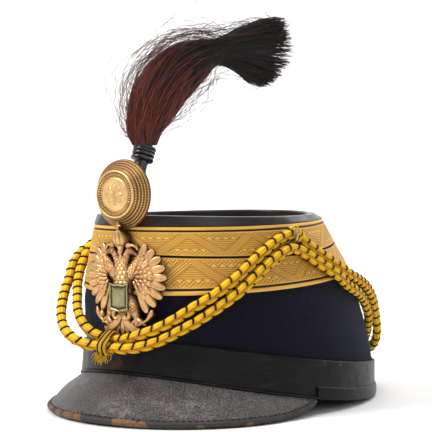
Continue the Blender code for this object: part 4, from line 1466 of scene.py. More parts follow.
@dataclass
class Cockade:
    """The domed cockade: corded ridges, a milled ring, a beaded ring and a plain rosette."""

    wall: Wall
    radius: float = 0.0208
    depth: float = 0.0099
    above_rim: float = 0.0124
    columns: int = 288
    ridges: int = 5
    ridge_height: float = 0.00080
    ridged_share: float = 0.30
    twist_pitch: float = 0.0016
    petals: int = 8
    milled_cuts: int = 52
    milled_depth: float = 0.00095
    beads_round: int = 72

    def centre(self) -> Vector:
        """Return the middle of the cockade's back."""
        front = self.wall.point(Level.LACE_TOP, 0.0, LACE_FRONT)
        return Vector((0.0, front.y, self.wall.height + self.above_rim))

    def profile(self) -> np.ndarray:
        """Lay out the disc's section, from its rim inwards.

        Returns:
            Rows of radius share, depth share, ridge height and kind.
        """
        envelope = np.array([(1.0, 0.08), (0.985, 0.17), (0.93, 0.27), (0.88, 0.37), (0.83, 0.48),
                             (0.78, 0.60), (0.735, 0.73), (0.70, 0.85)])
        rows = [(0.93, 0.0, 0.0, 0), (0.97, 0.015, 0.0, 0), (0.993, 0.045, 0.0, 0)]
        for place in np.linspace(0.0, 1.0, 71):
            share = 1.0 - self.ridged_share * place
            depth = np.interp(-share, -envelope[:, 0], envelope[:, 1])
            rows.append((share, depth, abs(math.sin(math.pi * place * self.ridges)), 1))
        steps = [(0, (0.690, 0.90), (0.680, 0.955), (0.664, 0.975), (0.648, 0.975), (0.634, 0.955)),
                 (4, (0.628, 0.90), (0.618, 0.89)),
                 (2, (0.612, 0.94), (0.600, 0.985), (0.582, 1.0), (0.562, 1.0), (0.545, 0.985),
                  (0.532, 0.95)),
                 (4, (0.522, 0.90), (0.500, 0.875), (0.482, 0.88)), (3, (0.470, 0.905), (0.455, 0.925))]
        rows += [(share, depth, 0.0, kind) for kind, *places in steps for share, depth in places]
        rows += [(share, 0.935 + 0.02 * (0.43 - share), 0.0, 3) for share in np.linspace(0.43, 0.03, 26)]
        return np.array(rows)

    def disc(self) -> Item:
        """Make the turned body.

        Returns:
            The disc.
        """
        rows = self.profile()
        turn = full_turn(self.columns)[None, :]
        share, deep, wave, kind = (rows[:, column][:, None] for column in range(4))
        place = (1.0 - share) / self.ridged_share * self.ridges
        index = np.floor(place)
        lean = np.where(index % 2 > 0, 1.0, -1.0)
        count = np.round(2 * math.pi * self.radius * (0.97 - index * 0.06) / self.twist_pitch)
        twist = 0.5 + 0.5 * np.cos(turn * count + lean * place * 2 * math.pi * 0.7)
        corded = wave ** 0.55 * self.ridge_height * (0.66 + 0.34 * twist)
        milled = (0.5 + 0.5 * np.cos(turn * self.milled_cuts)) ** 0.6
        petal = np.abs(np.cos(turn * self.petals / 2)) ** 0.6
        bloom = np.clip((0.30 * petal - share) / 0.05, 0.0, 1.0)
        small = np.abs(np.sin(turn * self.petals / 2)) ** 0.6
        inner = np.clip((0.15 * small - share) / 0.03, 0.0, 1.0)
        relief = np.where(kind == 1, corded - self.ridge_height * 0.5, 0.0)
        relief = relief + np.where(kind == 2, (milled - 1.0) * self.milled_depth, 0.0)
        relief = relief + np.where(kind == 3, bloom * 0.00035 + inner * 0.00030, 0.0)
        x = self.radius * share * np.sin(turn)
        z = self.radius * share * np.cos(turn)
        y = -np.maximum(self.depth * deep + relief, 0.0)
        centre = self.centre()
        grid = np.stack((x, y, z), axis=-1) + np.array(centre)
        # Painted shade kept on the points: round the petals, in the grooves between the corded ridges, in the
        # milled cuts and in the steps.
        rim = 0.5 * np.clip(1.0 - np.abs(share - 0.30 * petal) / 0.03, 0.0, 1.0)
        hollow = np.where(kind == 1, 0.14 + (1.0 - wave) ** 1.2 + 0.45 * (1.0 - twist), 0.0)
        hollow = hollow + np.where(kind == 2, (1.0 - milled) * 0.9, 0.0) + np.where(kind == 4, 0.95, 0.0)
        hollow = hollow + np.where(kind == 3, rim, 0.0)
        front = centre + Vector((0.0, -(self.depth * 0.943 + 0.00065), 0.0))
        return turned_piece("cockade_dome", grid, centre, front, hollow=np.clip(hollow, 0.0, 1.0))

    def beads(self, bench: Bench, metal: Material) -> Item:
        """Set small beads round the medallion.

        Args:
            bench: The shared trees.
            metal: The beads' material.

        Returns:
            The beads as one object.
        """
        unit = capsule("bead", 0.0011, 0.00045, 8)
        centre = self.centre()
        places = []
        for turn in full_turn(self.beads_round):
            out = Vector((math.sin(turn), 0.0, math.cos(turn)))
            place = centre + out * (self.radius * 0.498) - Vector((0.0, self.depth * 0.885, 0.0))
            places.append(upright(place, Vector((0.0, -1.0, 0.0)), out))
        return bench.copies("cockade_beads", unit, places, metal)

    def build(self, bench: Bench, metal: Material) -> None:
        """Make and dress the cockade.

        Args:
            bench: The shared trees.
            metal: The gilt material.
        """
        dress(self.disc(), metal, ["cockade"])
        dress(self.beads(bench, metal))


@dataclass
class PlumeSocket:
    """The black ringed socket that holds the plume."""

    wall: Wall
    length: float = 0.0432
    radius: float = 0.0072
    lean: float = math.radians(20.7)
    columns: int = 96

    def axis(self) -> tuple[Vector, Vector]:
        """Find where the socket stands.

        Returns:
            The foot on the rim, and the way the socket leans.
        """
        rim = self.wall.point(Level.RIM, 0.0)
        foot = Vector((0.0, rim.y - GAP, rim.z + GAP))
        return foot, Vector((0.0, math.sin(self.lean), math.cos(self.lean)))

    def bead(self, middle: float, half: float, wide: float, base: float) -> list[tuple[float, float]]:
        """Return a bead's places along the socket and its radii, as shares of the socket's own."""
        return [(middle - half * math.cos(turn), base + (wide - base) * math.sin(turn))
                for turn in np.linspace(0.0, math.pi, 9)]

    def build(self, material: Material) -> None:
        """Make and dress the socket.

        Args:
            material: The socket's lacquer.
        """
        foot, axis = self.axis()
        across = Vector((1.0, 0.0, 0.0))
        fore = axis.cross(across)
        profile = [(share, 0.54) for share in (0.0, 0.1, 0.2, 0.3, 0.40)] + [(0.44, 0.55), (0.455, 0.60)]
        profile += self.bead(0.51, 0.045, 0.70, 0.58) + self.bead(0.62, 0.05, 0.58, 0.56)
        profile += [(0.68, 0.565), (0.73, 0.585), (0.765, 0.61)]
        profile += self.bead(0.812, 0.036, 0.99, 0.72) + self.bead(0.878, 0.026, 0.97, 0.86)
        profile += self.bead(0.926, 0.018, 0.985, 0.88) + self.bead(0.972, 0.024, 1.0, 0.88)
        profile += [(0.998, 0.80), (1.0, 0.72), (0.996, 0.60)]
        turn = full_turn(self.columns)
        rings = []
        for along, wide in profile:
            dent = 1.0 + 0.012 * np.cos(turn * 3 + along * 9.0)
            middle = np.array(foot + axis * (self.length * along))
            rings.append(middle + circled(turn, dent * self.radius * wide, across, fore))
        rings[0][:, 2] = foot.z
        rings[1][:, 2] = np.maximum(rings[1][:, 2], foot.z + 0.0002)
        tube = turned_piece("socket_tube", np.array(rings), foot, foot + axis * (self.length * 0.99))
        dress(tube, material, ["plume_socket"])


class PlumeRow(NamedTuple):
    """A section of the bundle: its place, half sizes and the hair's lean in degrees."""

    reach: float
    rise: float
    half_thick: float
    half_deep: float
    lean: float


PLUME_ROWS = (
    PlumeRow(0.000, 0.000, 0.205, 0.290, 92.0),
    PlumeRow(-0.004, 0.105, 0.300, 0.370, 88.0),
    PlumeRow(0.030, 0.235, 0.385, 0.430, 76.0),
    PlumeRow(0.085, 0.385, 0.440, 0.460, 64.0),
    PlumeRow(0.190, 0.550, 0.445, 0.450, 52.0),
    PlumeRow(0.310, 0.665, 0.395, 0.410, 42.0),
    PlumeRow(0.420, 0.730, 0.280, 0.350, 26.0),
    PlumeRow(0.505, 0.750, 0.225, 0.330, 10.0),
    PlumeRow(0.610, 0.765, 0.340, 0.400, 2.0),
    PlumeRow(0.740, 0.760, 0.530, 0.470, -4.0),
    PlumeRow(0.860, 0.750, 0.600, 0.500, -7.0),
)


def in_bundle(bundle: tuple, up: np.ndarray, side: np.ndarray) -> np.ndarray:
    """Return places in the sections of the bundle, given as shares of their half sizes."""
    middle, halves, across, flank = bundle
    return middle + across * (halves[..., 0] * up)[..., None] + flank * (halves[..., 1] * side)[..., None]


@dataclass
class Plume:
    """The falling horsehair bundle: a dark heart, many hairs in locks, and stray hairs."""

    socket: PlumeSocket
    reach: float = 0.0975
    rise: float = 0.0770
    thickness: float = 0.0340
    deep: float = 0.0240
    heading: float = math.radians(63.2)
    hairs: int = 2160
    locks: int = 46
    knots: int = 14
    strays: int = 170
    stray_knots: int = 26
    crossing: int = 150
    crossing_knots: int = 18
    heart_share: float = 0.86
    stray_radius: float = 0.00011
    crossing_radius: float = 0.00015
    seed: int = 7

    def ahead(self) -> np.ndarray:
        """Return the level way in which the plume falls."""
        return np.array((math.cos(self.heading), math.sin(self.heading), 0.0))

    def sections(self, places: np.ndarray) -> tuple[np.ndarray, np.ndarray, np.ndarray, np.ndarray]:
        """Lay sections along the bundle.

        Args:
            places: Row numbers, whole or between two rows.

        Returns:
            Middles, half sizes across and along the flank, and the directions of both.
        """
        foot, axis = self.socket.axis()
        start = np.array(foot + axis * (self.socket.length + GAP))
        ahead = self.ahead()
        up = np.array(UP)
        aside = np.cross(up, ahead)
        fine = smooth_rows(np.array(PLUME_ROWS), 401)
        row = np.stack([np.interp(places * 40.0, np.arange(401), column) for column in fine.T], axis=-1)
        lean = np.radians(row[..., 4])
        way = ahead * np.cos(lean)[..., None] + up * np.sin(lean)[..., None]
        across = units(np.cross(way, aside))
        flank = np.cross(across, way)
        middle = start + ahead * (self.reach * row[..., 0:1]) + up * (self.rise * row[..., 1:2])
        halves = np.stack((self.thickness * row[..., 2], self.deep * row[..., 3]), axis=-1)
        return middle, halves, across, flank

    def heart(self) -> Item:
        """Make the dark heart that fills the bundle.

        Returns:
            The heart.
        """
        bundle = self.sections(np.linspace(0.0, 9.6, 44)[:, None])
        turn = full_turn(48)
        lock = self.heart_share * (1.0 + 0.06 * np.cos(turn * 12))
        rings = in_bundle(bundle, np.cos(turn) * lock, np.sin(turn) * lock)
        middle = bundle[0][:, 0]
        return turned_piece("plume_heart", rings, middle[0], middle[-1], brown=np.zeros(rings.shape[:2]))

    def hair_lines(self) -> tuple[np.ndarray, np.ndarray, np.ndarray]:
        """Lay the hairs of the bundle.

        Returns:
            Points by hair and knot, each hair's radius, and how brown each knot is.
        """
        chance = np.random.default_rng(self.seed)
        lock = chance.integers(0, self.locks, self.hairs)
        lock_turn = chance.uniform(0.0, 2 * math.pi, self.locks)
        lock_reach = np.sqrt(chance.uniform(0.25, 1.0, self.locks))
        turn = lock_turn[lock] + chance.normal(0.0, 0.24, self.hairs)
        reach = np.clip(lock_reach[lock] + chance.normal(0.0, 0.13, self.hairs), 0.1, 1.03)
        loose = chance.uniform(0.0, 1.0, self.hairs) < 0.55
        turn = np.where(loose, chance.uniform(0.0, 2 * math.pi, self.hairs), turn)
        reach = np.where(loose, chance.uniform(0.72, 1.0, self.hairs), reach)
        share = np.linspace(0.0, 1.0, self.knots)[None, :]
        start = chance.uniform(0.0, 0.25, self.hairs)[:, None]
        start = np.where(chance.uniform(0.0, 1.0, self.hairs)[:, None] < 0.15, start + 3.0, start)
        end = 10.0 - np.abs(chance.normal(0.0, 0.25, self.hairs))[:, None]
        places = start + (end - start) * share
        wander = np.cumsum(chance.normal(0.0, 0.035, (self.hairs, self.knots)), axis=1)
        wander -= wander[:, :1]
        angle = turn[:, None] + wander + 0.35 * (share - 0.5)
        away = reach[:, None] * (1.0 + chance.normal(0.0, 0.025, (self.hairs, self.knots)))
        up_part = np.cos(angle) * away
        points = in_bundle(self.sections(places), up_part, np.sin(angle) * away)
        height = up_part[:, -1]
        further = self.reach * 0.125 * (1.05 - 0.42 * height ** 2 - 0.55 * np.clip(-height, 0.0, 1.0))
        further = further * chance.uniform(0.62, 1.20, self.hairs)
        fan = self.ahead() * further[:, None]
        fan[:, 2] += further * height * 0.42 - 0.0008 + chance.normal(0.0, 0.0010, self.hairs)
        tip = (share[0, -4:] - share[0, -4]) / (1.0 - share[0, -4])
        points[:, -4:] += fan[:, None, :] * tip[None, :, None]
        radius = chance.uniform(0.00013, 0.00022, self.hairs)[:, None] * np.ones((1, self.knots))
        radius[:, -1] *= 0.55
        tint = chance.uniform(0.0, 1.0, self.locks)[lock] * 0.55 + chance.uniform(0.0, 1.0, self.hairs) * 0.65
        rust = (np.clip((tint - 0.52) * 3.4, 0.0, 1.0) * chance.uniform(0.5, 1.25, self.hairs))[:, None]
        fade = np.clip((4.9 - places) / 2.8, 0.0, 1.0)
        tips = np.clip((places - 8.2) / 1.6, 0.0, 1.0) * 0.03
        return points, radius, rust * fade + tips + 0.01

    def stray_lines(self) -> tuple[np.ndarray, np.ndarray]:
        """Lay the loose hairs that arc over the bundle and hang below it.

        Returns:
            Points by hair and knot, and how brown each knot is.
        """
        chance = np.random.default_rng(self.seed + 1)
        count = self.strays
        share = np.linspace(0.0, 1.0, self.stray_knots)[None, :]
        start = chance.uniform(0.2, 4.2, count)[:, None]
        end = np.minimum(start + chance.uniform(3.5, 7.5, count)[:, None], 10.0)
        middle, halves, across, flank = self.sections(start + (end - start) * share)
        above = chance.uniform(0.0, 1.0, count) < 0.66
        turn = np.where(above, chance.normal(0.0, 0.45, count), chance.normal(math.pi, 0.5, count))
        arch = np.where(above, chance.gamma(1.9, 0.0046, count), chance.gamma(1.5, 0.0052, count))
        arch = np.minimum(arch, np.where(above, 0.022, 0.019))[:, None] * np.sin(math.pi * share) ** 0.8
        turn = turn[:, None] + chance.normal(0.0, 0.75, count)[:, None] * (share - 0.3)
        wave = chance.normal(0.0, 0.0013, (count, self.stray_knots)).cumsum(axis=1) * 0.42
        wave -= wave[:, :1]
        up_part = np.cos(turn) * (halves[..., 0] + arch + np.abs(wave))
        side_part = np.sin(turn) * (halves[..., 1] + arch * 0.8)
        points = middle + across * up_part[..., None] + flank * side_part[..., None]
        points[..., 0] += wave * 0.8
        points[..., 1] += np.roll(wave, 5, axis=1) * 0.6
        brown = chance.uniform(0.0, 0.8, count)[:, None] * np.clip(1.2 - share, 0.0, 1.0)
        return points, brown

    def crossing_lines(self) -> np.ndarray:
        """Lay the red-brown hairs that cross over the others on the bundle's skin.

        Returns:
            Points by hair and knot.
        """
        chance = np.random.default_rng(self.seed + 2)
        each = (self.crossing, 1)
        share = np.linspace(0.0, 1.0, self.crossing_knots)[None, :]
        start = chance.uniform(0.0, 2.2, each)
        bundle = self.sections(start + chance.uniform(2.0, 4.6, each) * share)
        turn = chance.uniform(0.0, 2 * math.pi, each)
        turn = turn + chance.normal(0.0, 0.8, each) * share
        away = 1.02 + chance.uniform(0.0, 0.05, each) + 0.03 * np.sin(math.pi * share)
        return in_bundle(bundle, away * np.cos(turn), away * np.sin(turn))

    def build(self, bench: Bench, material: Material) -> None:
        """Make and dress the plume.

        Args:
            bench: The shared trees.
            material: The hair's material.
        """
        dress(self.heart(), material, ["plume"])
        points, radius, brown = self.hair_lines()
        half = len(points) // 2
        for name, part in (("plume_hair_left", slice(0, half)), ("plume_hair_right", slice(half, None))):
            hair = bench.rods(name, points[part], radius[part], material, 3, brown=brown[part])
            dress(hair)
        lines, tint = self.stray_lines()
        dress(bench.rods("plume_stray_hair", lines, self.stray_radius, material, 3, brown=tint))
        lines = self.crossing_lines()
        tint = np.linspace(0.1, 1.15, self.crossing)[:, None]
        crossing = bench.rods("plume_crossing_hair", lines, self.crossing_radius, material, 4, brown=tint)
        dress(crossing)


class Relief(Enum):
    """How the front of a limb is modelled across its width."""

    ROUND = "round"
    FEATHER = "feather"
    RIBBED = "ribbed"
    SCALED = "scaled"


class Rib(NamedTuple):
    """A station of a limb, in shares of the plate's height from its centre."""

    x: float
    z: float
    half: float
    low: float
    high: float


def ribs(*rows: Sequence[float]) -> tuple[Rib, ...]:
    """Make the stations of a limb from rows of their numbers."""
    return tuple(Rib(*row) for row in rows)


BODY = ribs((0.0, 0.190, 0.026, 0.004, 0.040), (0.0, 0.150, 0.070, 0.004, 0.050),
            (0.0, 0.080, 0.094, 0.004, 0.055), (0.0, -0.020, 0.108, 0.004, 0.054),
            (0.0, -0.150, 0.104, 0.004, 0.051), (0.0, -0.240, 0.088, 0.004, 0.045),
            (0.0, -0.300, 0.055, 0.004, 0.036), (0.0, -0.340, 0.028, 0.004, 0.028))
NECK = ribs((0.012, 0.050, 0.050, 0.006, 0.044), (0.026, 0.110, 0.050, 0.006, 0.052),
            (0.048, 0.160, 0.041, 0.008, 0.053), (0.070, 0.204, 0.036, 0.010, 0.057),
            (0.096, 0.224, 0.036, 0.012, 0.066), (0.120, 0.220, 0.030, 0.013, 0.063),
            (0.138, 0.212, 0.019, 0.014, 0.056), (0.160, 0.198, 0.013, 0.017, 0.046),
            (0.172, 0.182, 0.005, 0.018, 0.034))
SMALL_CROWN = ribs((0.088, 0.240, 0.020, 0.012, 0.048), (0.088, 0.252, 0.026, 0.012, 0.054),
                   (0.088, 0.268, 0.034, 0.012, 0.058), (0.088, 0.284, 0.024, 0.014, 0.052),
                   (0.088, 0.297, 0.006, 0.016, 0.040))
STEM = ribs((0.0, 0.150, 0.022, 0.006, 0.040), (0.0, 0.205, 0.020, 0.010, 0.044),
            (0.0, 0.270, 0.050, 0.014, 0.062))
CROWN = ribs((0.0, 0.258, 0.050, 0.012, 0.060), (0.0, 0.268, 0.068, 0.012, 0.072),
             (0.0, 0.284, 0.072, 0.014, 0.078), (0.0, 0.290, 0.082, 0.016, 0.074),
             (0.0, 0.320, 0.094, 0.020, 0.084), (0.0, 0.352, 0.088, 0.026, 0.087),
             (0.0, 0.380, 0.062, 0.032, 0.084), (0.0, 0.400, 0.022, 0.040, 0.076))
CROSS = ribs((0.0, 0.392, 0.012, 0.050, 0.076), (0.0, 0.420, 0.009, 0.052, 0.074),
             (0.0, 0.432, 0.010, 0.052, 0.076), (0.0, 0.470, 0.013, 0.052, 0.074))
CROSS_ARM = ribs((-0.028, 0.437, 0.011, 0.052, 0.072), (0.0, 0.437, 0.008, 0.052, 0.077),
                 (0.028, 0.437, 0.011, 0.052, 0.072))
RIBBON = ribs((0.070, 0.262, 0.012, 0.014, 0.052), (0.118, 0.274, 0.017, 0.012, 0.048),
              (0.158, 0.262, 0.016, 0.010, 0.040), (0.168, 0.236, 0.011, 0.010, 0.034))
WING_ARM = ribs((0.058, 0.000, 0.052, 0.006, 0.034), (0.098, 0.045, 0.060, 0.006, 0.043),
                (0.140, 0.095, 0.058, 0.006, 0.046), (0.182, 0.155, 0.044, 0.006, 0.043),
                (0.214, 0.206, 0.024, 0.006, 0.036))
LEG = ribs((0.060, -0.150, 0.048, 0.005, 0.044), (0.090, -0.205, 0.068, 0.005, 0.052),
           (0.118, -0.262, 0.060, 0.005, 0.050), (0.142, -0.310, 0.040, 0.005, 0.042),
           (0.160, -0.352, 0.026, 0.005, 0.036), (0.166, -0.380, 0.014, 0.005, 0.028))
TOES = (ribs((0.158, -0.345, 0.024, 0.006, 0.036), (0.125, -0.372, 0.024, 0.006, 0.040),
             (0.098, -0.396, 0.010, 0.006, 0.024)),
        ribs((0.162, -0.350, 0.024, 0.006, 0.038), (0.156, -0.390, 0.023, 0.006, 0.041),
             (0.148, -0.426, 0.010, 0.006, 0.022)),
        ribs((0.165, -0.345, 0.024, 0.006, 0.036), (0.202, -0.364, 0.023, 0.006, 0.039),
             (0.235, -0.392, 0.010, 0.006, 0.022)))
SCEPTRE = ribs((0.125, -0.412, 0.014, 0.010, 0.030), (0.210, -0.374, 0.015, 0.010, 0.034),
               (0.262, -0.340, 0.018, 0.010, 0.036), (0.290, -0.296, 0.028, 0.009, 0.038),
               (0.302, -0.258, 0.008, 0.008, 0.028))
SCROLL = ribs((0.052, -0.262, 0.020, 0.004, 0.038), (0.084, -0.296, 0.024, 0.004, 0.044),
              (0.078, -0.336, 0.024, 0.004, 0.046), (0.046, -0.344, 0.020, 0.004, 0.044),
              (0.038, -0.318, 0.011, 0.004, 0.036))
ORB = ribs((-0.235, -0.352, 0.010, 0.008, 0.026), (-0.235, -0.340, 0.032, 0.008, 0.040),
           (-0.235, -0.318, 0.042, 0.008, 0.046), (-0.235, -0.296, 0.030, 0.008, 0.040),
           (-0.235, -0.284, 0.010, 0.008, 0.030), (-0.235, -0.262, 0.012, 0.008, 0.028))
SADDLE = ribs((0.0, 0.268, 0.016, 0.006, 0.044), (0.0, 0.240, 0.030, 0.006, 0.054),
              (0.0, 0.215, 0.032, 0.006, 0.058), (0.0, 0.190, 0.016, 0.006, 0.048))
TAIL_CURL = ribs((0.020, -0.320, 0.036, 0.004, 0.036), (0.062, -0.384, 0.046, 0.004, 0.040),
                 (0.118, -0.424, 0.044, 0.004, 0.038), (0.170, -0.440, 0.030, 0.004, 0.033),
                 (0.206, -0.424, 0.012, 0.004, 0.024))


class Fan(NamedTuple):
    """Feathers that spread from one root, in shares of the plate's height."""

    count: int
    first: float
    last: float
    half: float
    low: float
    high: float
    step: float


@dataclass
class Eagle:
    """The pierced gilt eagle with two crowned heads, and the bare shield on its breast."""

    wall: Wall
    height: float = 0.0710
    bend: float = 0.1010
    below_rim: float = 0.0372
    primaries: Fan = Fan(9, 0.298, 0.325, 0.043, 0.003, 0.026, 0.0022)
    coverts: Fan = Fan(7, 0.205, 0.222, 0.036, 0.010, 0.037, 0.0014)
    tail: Fan = Fan(5, 0.235, 0.235, 0.026, 0.003, 0.021, 0.0017)
    shield_width: float = 0.0150
    shield_height: float = 0.0176
    shield_thickness: float = 0.0012
    limbs: list[tuple[np.ndarray, np.ndarray]] = field(default_factory=list)

    def back(self) -> float:
        """Return how far forward the back of the plate lies."""
        return float(self.wall.points(Level.LACE_FOOT, 0.0, LACE_FRONT)[1])

    def bent(self, flat: np.ndarray) -> np.ndarray:
        """Bend flat points of x, height and depth round the front of the hat.

        Args:
            flat: Flat points, with x, height and depth along the last axis.

        Returns:
            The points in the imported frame.
        """
        x, z, depth = flat[..., 0], flat[..., 1], flat[..., 2]
        y = self.back() - depth + x * x / (2 * self.bend)
        return np.stack((x, y, self.wall.height - self.below_rim + z), axis=-1)

    def limb(self, stations: Sequence[Rib], relief: Relief, rings: int, mirror: bool = False) -> None:
        """Add one limb to the plate.

        Args:
            stations: Its stations.
            relief: How its front is modelled.
            rings: How many sections it gets.
            mirror: Whether it goes on the other side.
        """
        table = smooth_rows(np.array(stations), rings)
        table[:, 2] = np.maximum(table[:, 2], 0.002)
        if mirror:
            table[:, 0] *= -1.0
        way = units(np.gradient(table[:, :2], axis=0))
        side = np.stack((-way[:, 1], way[:, 0]), axis=-1)
        across = np.linspace(-1.0, 1.0, {Relief.ROUND: 13, Relief.FEATHER: 17}.get(relief, 33))
        front = np.sqrt(np.clip(1.0 - np.abs(across) ** (4.0 if relief is Relief.FEATHER else 2.2), 0.0, 1.0))
        share = np.linspace(0.0, 1.0, rings)[:, None]
        if relief is Relief.FEATHER:
            vane = 0.66 + 0.34 * np.sin(math.pi * np.abs(across) ** 0.85)
            vane = vane + 0.26 * np.exp(-(across / 0.12) ** 2)
            barbs = 1.0 + 0.07 * np.cos(2 * math.pi * (share * 9.0 + np.abs(across)[None, :] * 1.2))
            front = (front * vane)[None, :] * barbs
        elif relief is Relief.RIBBED:
            front = (front * (0.74 + 0.26 * np.abs(np.cos(math.pi * across * 2.0)) ** 0.6))[None, :]
            front = front * (1.0 - 0.22 * np.exp(-((share - 0.20) / 0.03) ** 2))
        elif relief is Relief.SCALED:
            tile = np.hypot(*np.diff(table[[0, -1], :2], axis=0)[0]) / max(float(table[:, 2].mean()), 0.01)
            rows = share * np.maximum(np.round(tile * 2.6), 3.0)
            shell = np.abs(np.cos(math.pi * (across[None, :] * 2.0 + 0.5 * np.floor(rows)))) ** 0.5
            drop = (rows - np.floor(rows)) ** 0.8
            scale = shell * np.sin(math.pi * np.clip(drop * 1.1, 0.0, 1.0)) ** 0.6
            front = front[None, :] * (0.76 + 0.24 * scale)
        else:
            front = front[None, :] * np.ones_like(share)
        low, high = table[:, 3:4], table[:, 4:5]
        depth = low + (high - low) * front
        flat = table[:, None, :2] + side[:, None, :] * (table[:, 2:3] * across[None, :])[..., None]
        ends = flat[:, [-1, 0]]
        grid = np.concatenate((np.concatenate((flat, depth[..., None]), axis=-1),
                               np.concatenate((ends, np.full((rings, 2, 1), 0.001)), axis=-1)), axis=1)
        # Painted shade: darker where the front falls away at the edges and hollows of each limb, and full on
        # its side walls.
        hollow = np.clip(1.30 - front * 1.35, 0.0, 1.0)
        hollow = np.concatenate((hollow, np.ones((rings, 2))), axis=1)
        self.limbs.append((grid * self.height, hollow))

    def pair(self, stations: Sequence[Rib], relief: Relief, rings: int) -> None:
        """Add a limb on both sides of the plate."""
        self.limb(stations, relief, rings)
        self.limb(stations, relief, rings, mirror=True)

    def feather(self, root: Sequence[float], angle: float, near: float, fan: Fan, reach: float,
                lift: float) -> list[Rib]:
        """Lay out one feather.

        Args:
            root: Where the fan starts.
            angle: Its angle above the horizontal.
            near: Where along its reach it starts.
            fan: The fan it belongs to.
            reach: Its reach from the root.
            lift: How far it stands in front of its neighbours.

        Returns:
            Its stations.
        """
        stations = []
        for share in (0.0, 0.2, 0.4, 0.6, 0.75, 0.87, 0.94, 0.98, 1.0):
            along = reach * (near + (1.0 - near) * share)
            wide = min(1.0, 0.50 + share * 0.75) * (1.0 - max(share - 0.72, 0.0) ** 2 / 0.085) ** 0.5
            rise = 1.0 - 0.35 * max(share - 0.8, 0.0) / 0.2
            x, z = root[0] + math.cos(angle) * along, root[1] + math.sin(angle) * along
            high = fan.low + (fan.high - fan.low) * rise + lift
            stations.append(Rib(x, z, fan.half * max(wide, 0.12), fan.low + lift, high))
        return stations

    def spread(self, fan: Fan, root: Sequence[float], first: float, last: float, near: float,
               both: bool) -> None:
        """Add a fan of feathers.

        Args:
            fan: The fan's sizes.
            root: Where it starts.
            first: The first feather's angle in degrees.
            last: The last feather's angle in degrees.
            near: Where along its reach a feather starts.
            both: Whether the fan is on both sides.
        """
        for index in range(fan.count):
            share = (index + 0.5) / fan.count
            reach = fan.first + (fan.last - fan.first) * share
            angle = math.radians(first + (last - first) * share)
            stations = self.feather(root, angle, near, fan, reach, fan.step * (index % 2))
            self.limb(stations, Relief.FEATHER, 18)
            if both:
                self.limb(stations, Relief.FEATHER, 18, mirror=True)

    def scales(self) -> None:
        """Add the small rounded feathers of the wings' shoulders."""
        sizes = ((-1.0, 0.014, 0.018), (0.0, 0.020, 0.028), (0.7, 0.016, 0.026), (1.0, 0.005, 0.016))
        for row, (count, reach) in enumerate(((10, 0.178), (9, 0.142), (7, 0.106), (5, 0.070))):
            lift = 0.014 + 0.005 * row
            for index in range(count):
                angle = math.radians(74.0 - 142.0 * (index + 0.5) / count)
                stations = []
                for share, half, high in sizes:
                    along = reach + 0.026 * share
                    x, z = 0.112 + math.cos(angle) * along, 0.012 + math.sin(angle) * along
                    stations.append(Rib(x, z, half, 0.008, lift + high))
                self.pair(stations, Relief.ROUND, 9)

    def plate(self) -> Item:
        """Make the whole eagle as one piece.

        Returns:
            The eagle.
        """
        self.spread(self.primaries, (0.115, 0.010), 74.0, -74.0, 0.20, True)
        self.spread(self.coverts, (0.115, 0.010), 70.0, -66.0, 0.25, True)
        self.spread(self.tail, (0.0, -0.250), -51.0, -129.0, 0.15, False)
        self.limb(BODY, Relief.SCALED, 90)
        self.limb(SADDLE, Relief.ROUND, 16)
        self.limb(ORB, Relief.ROUND, 20)
        for stations, relief, rings in ((NECK, Relief.SCALED, 60), (SMALL_CROWN, Relief.RIBBED, 16),
                                        (WING_ARM, Relief.SCALED, 44), (LEG, Relief.SCALED, 44),
                                        (SCEPTRE, Relief.ROUND, 18), (SCROLL, Relief.ROUND, 20),
                                        (TAIL_CURL, Relief.FEATHER, 22), (RIBBON, Relief.ROUND, 16)):
            self.pair(stations, relief, rings)
        for toe in TOES:
            self.pair(toe, Relief.ROUND, 12)
        self.limb(STEM, Relief.ROUND, 12)
        self.limb(CROWN, Relief.RIBBED, 34)
        self.limb(CROSS, Relief.ROUND, 14)
        self.limb(CROSS_ARM, Relief.ROUND, 10)
        self.scales()
        points, faces, hollows, start = [], [], [], 0
        for grid, hollow in self.limbs:
            rows, columns = grid.shape[:2]
            faces += [[start + corner for corner in face] for face in bar_faces(rows, columns)]
            points.append(self.bent(grid).reshape(-1, 3))
            hollows.append(hollow.ravel())
            start += rows * columns
        every = np.concatenate(points)
        return new_piece("eagle_relief", every, faces, sharp=50.0, hollow=np.concatenate(hollows))

    def shield(self) -> Item:
        """Make the bare shield with its raised border.

        Returns:
            The shield.
        """
        half, tall = self.shield_width / 2, self.shield_height / 2
        outline = np.array([(0.0, 0.90), (0.3, 0.875), (0.55, 0.87), (0.85, 0.95), (1.0, 1.0), (0.93, 0.80),
                            (0.90, 0.62), (0.92, 0.3), (0.94, 0.0), (0.92, -0.3), (0.90, -0.60),
                            (0.96, -0.78), (0.75, -0.85), (0.45, -0.90), (0.2, -0.94), (0.0, -1.0)])
        other = outline[1:-1][::-1] * np.array((-1.0, 1.0))
        loop = np.concatenate((outline, other)) * np.array((half, tall))
        seat = 0.052 * self.height + GAP
        top = seat + self.shield_thickness
        rings, hollow = [], []
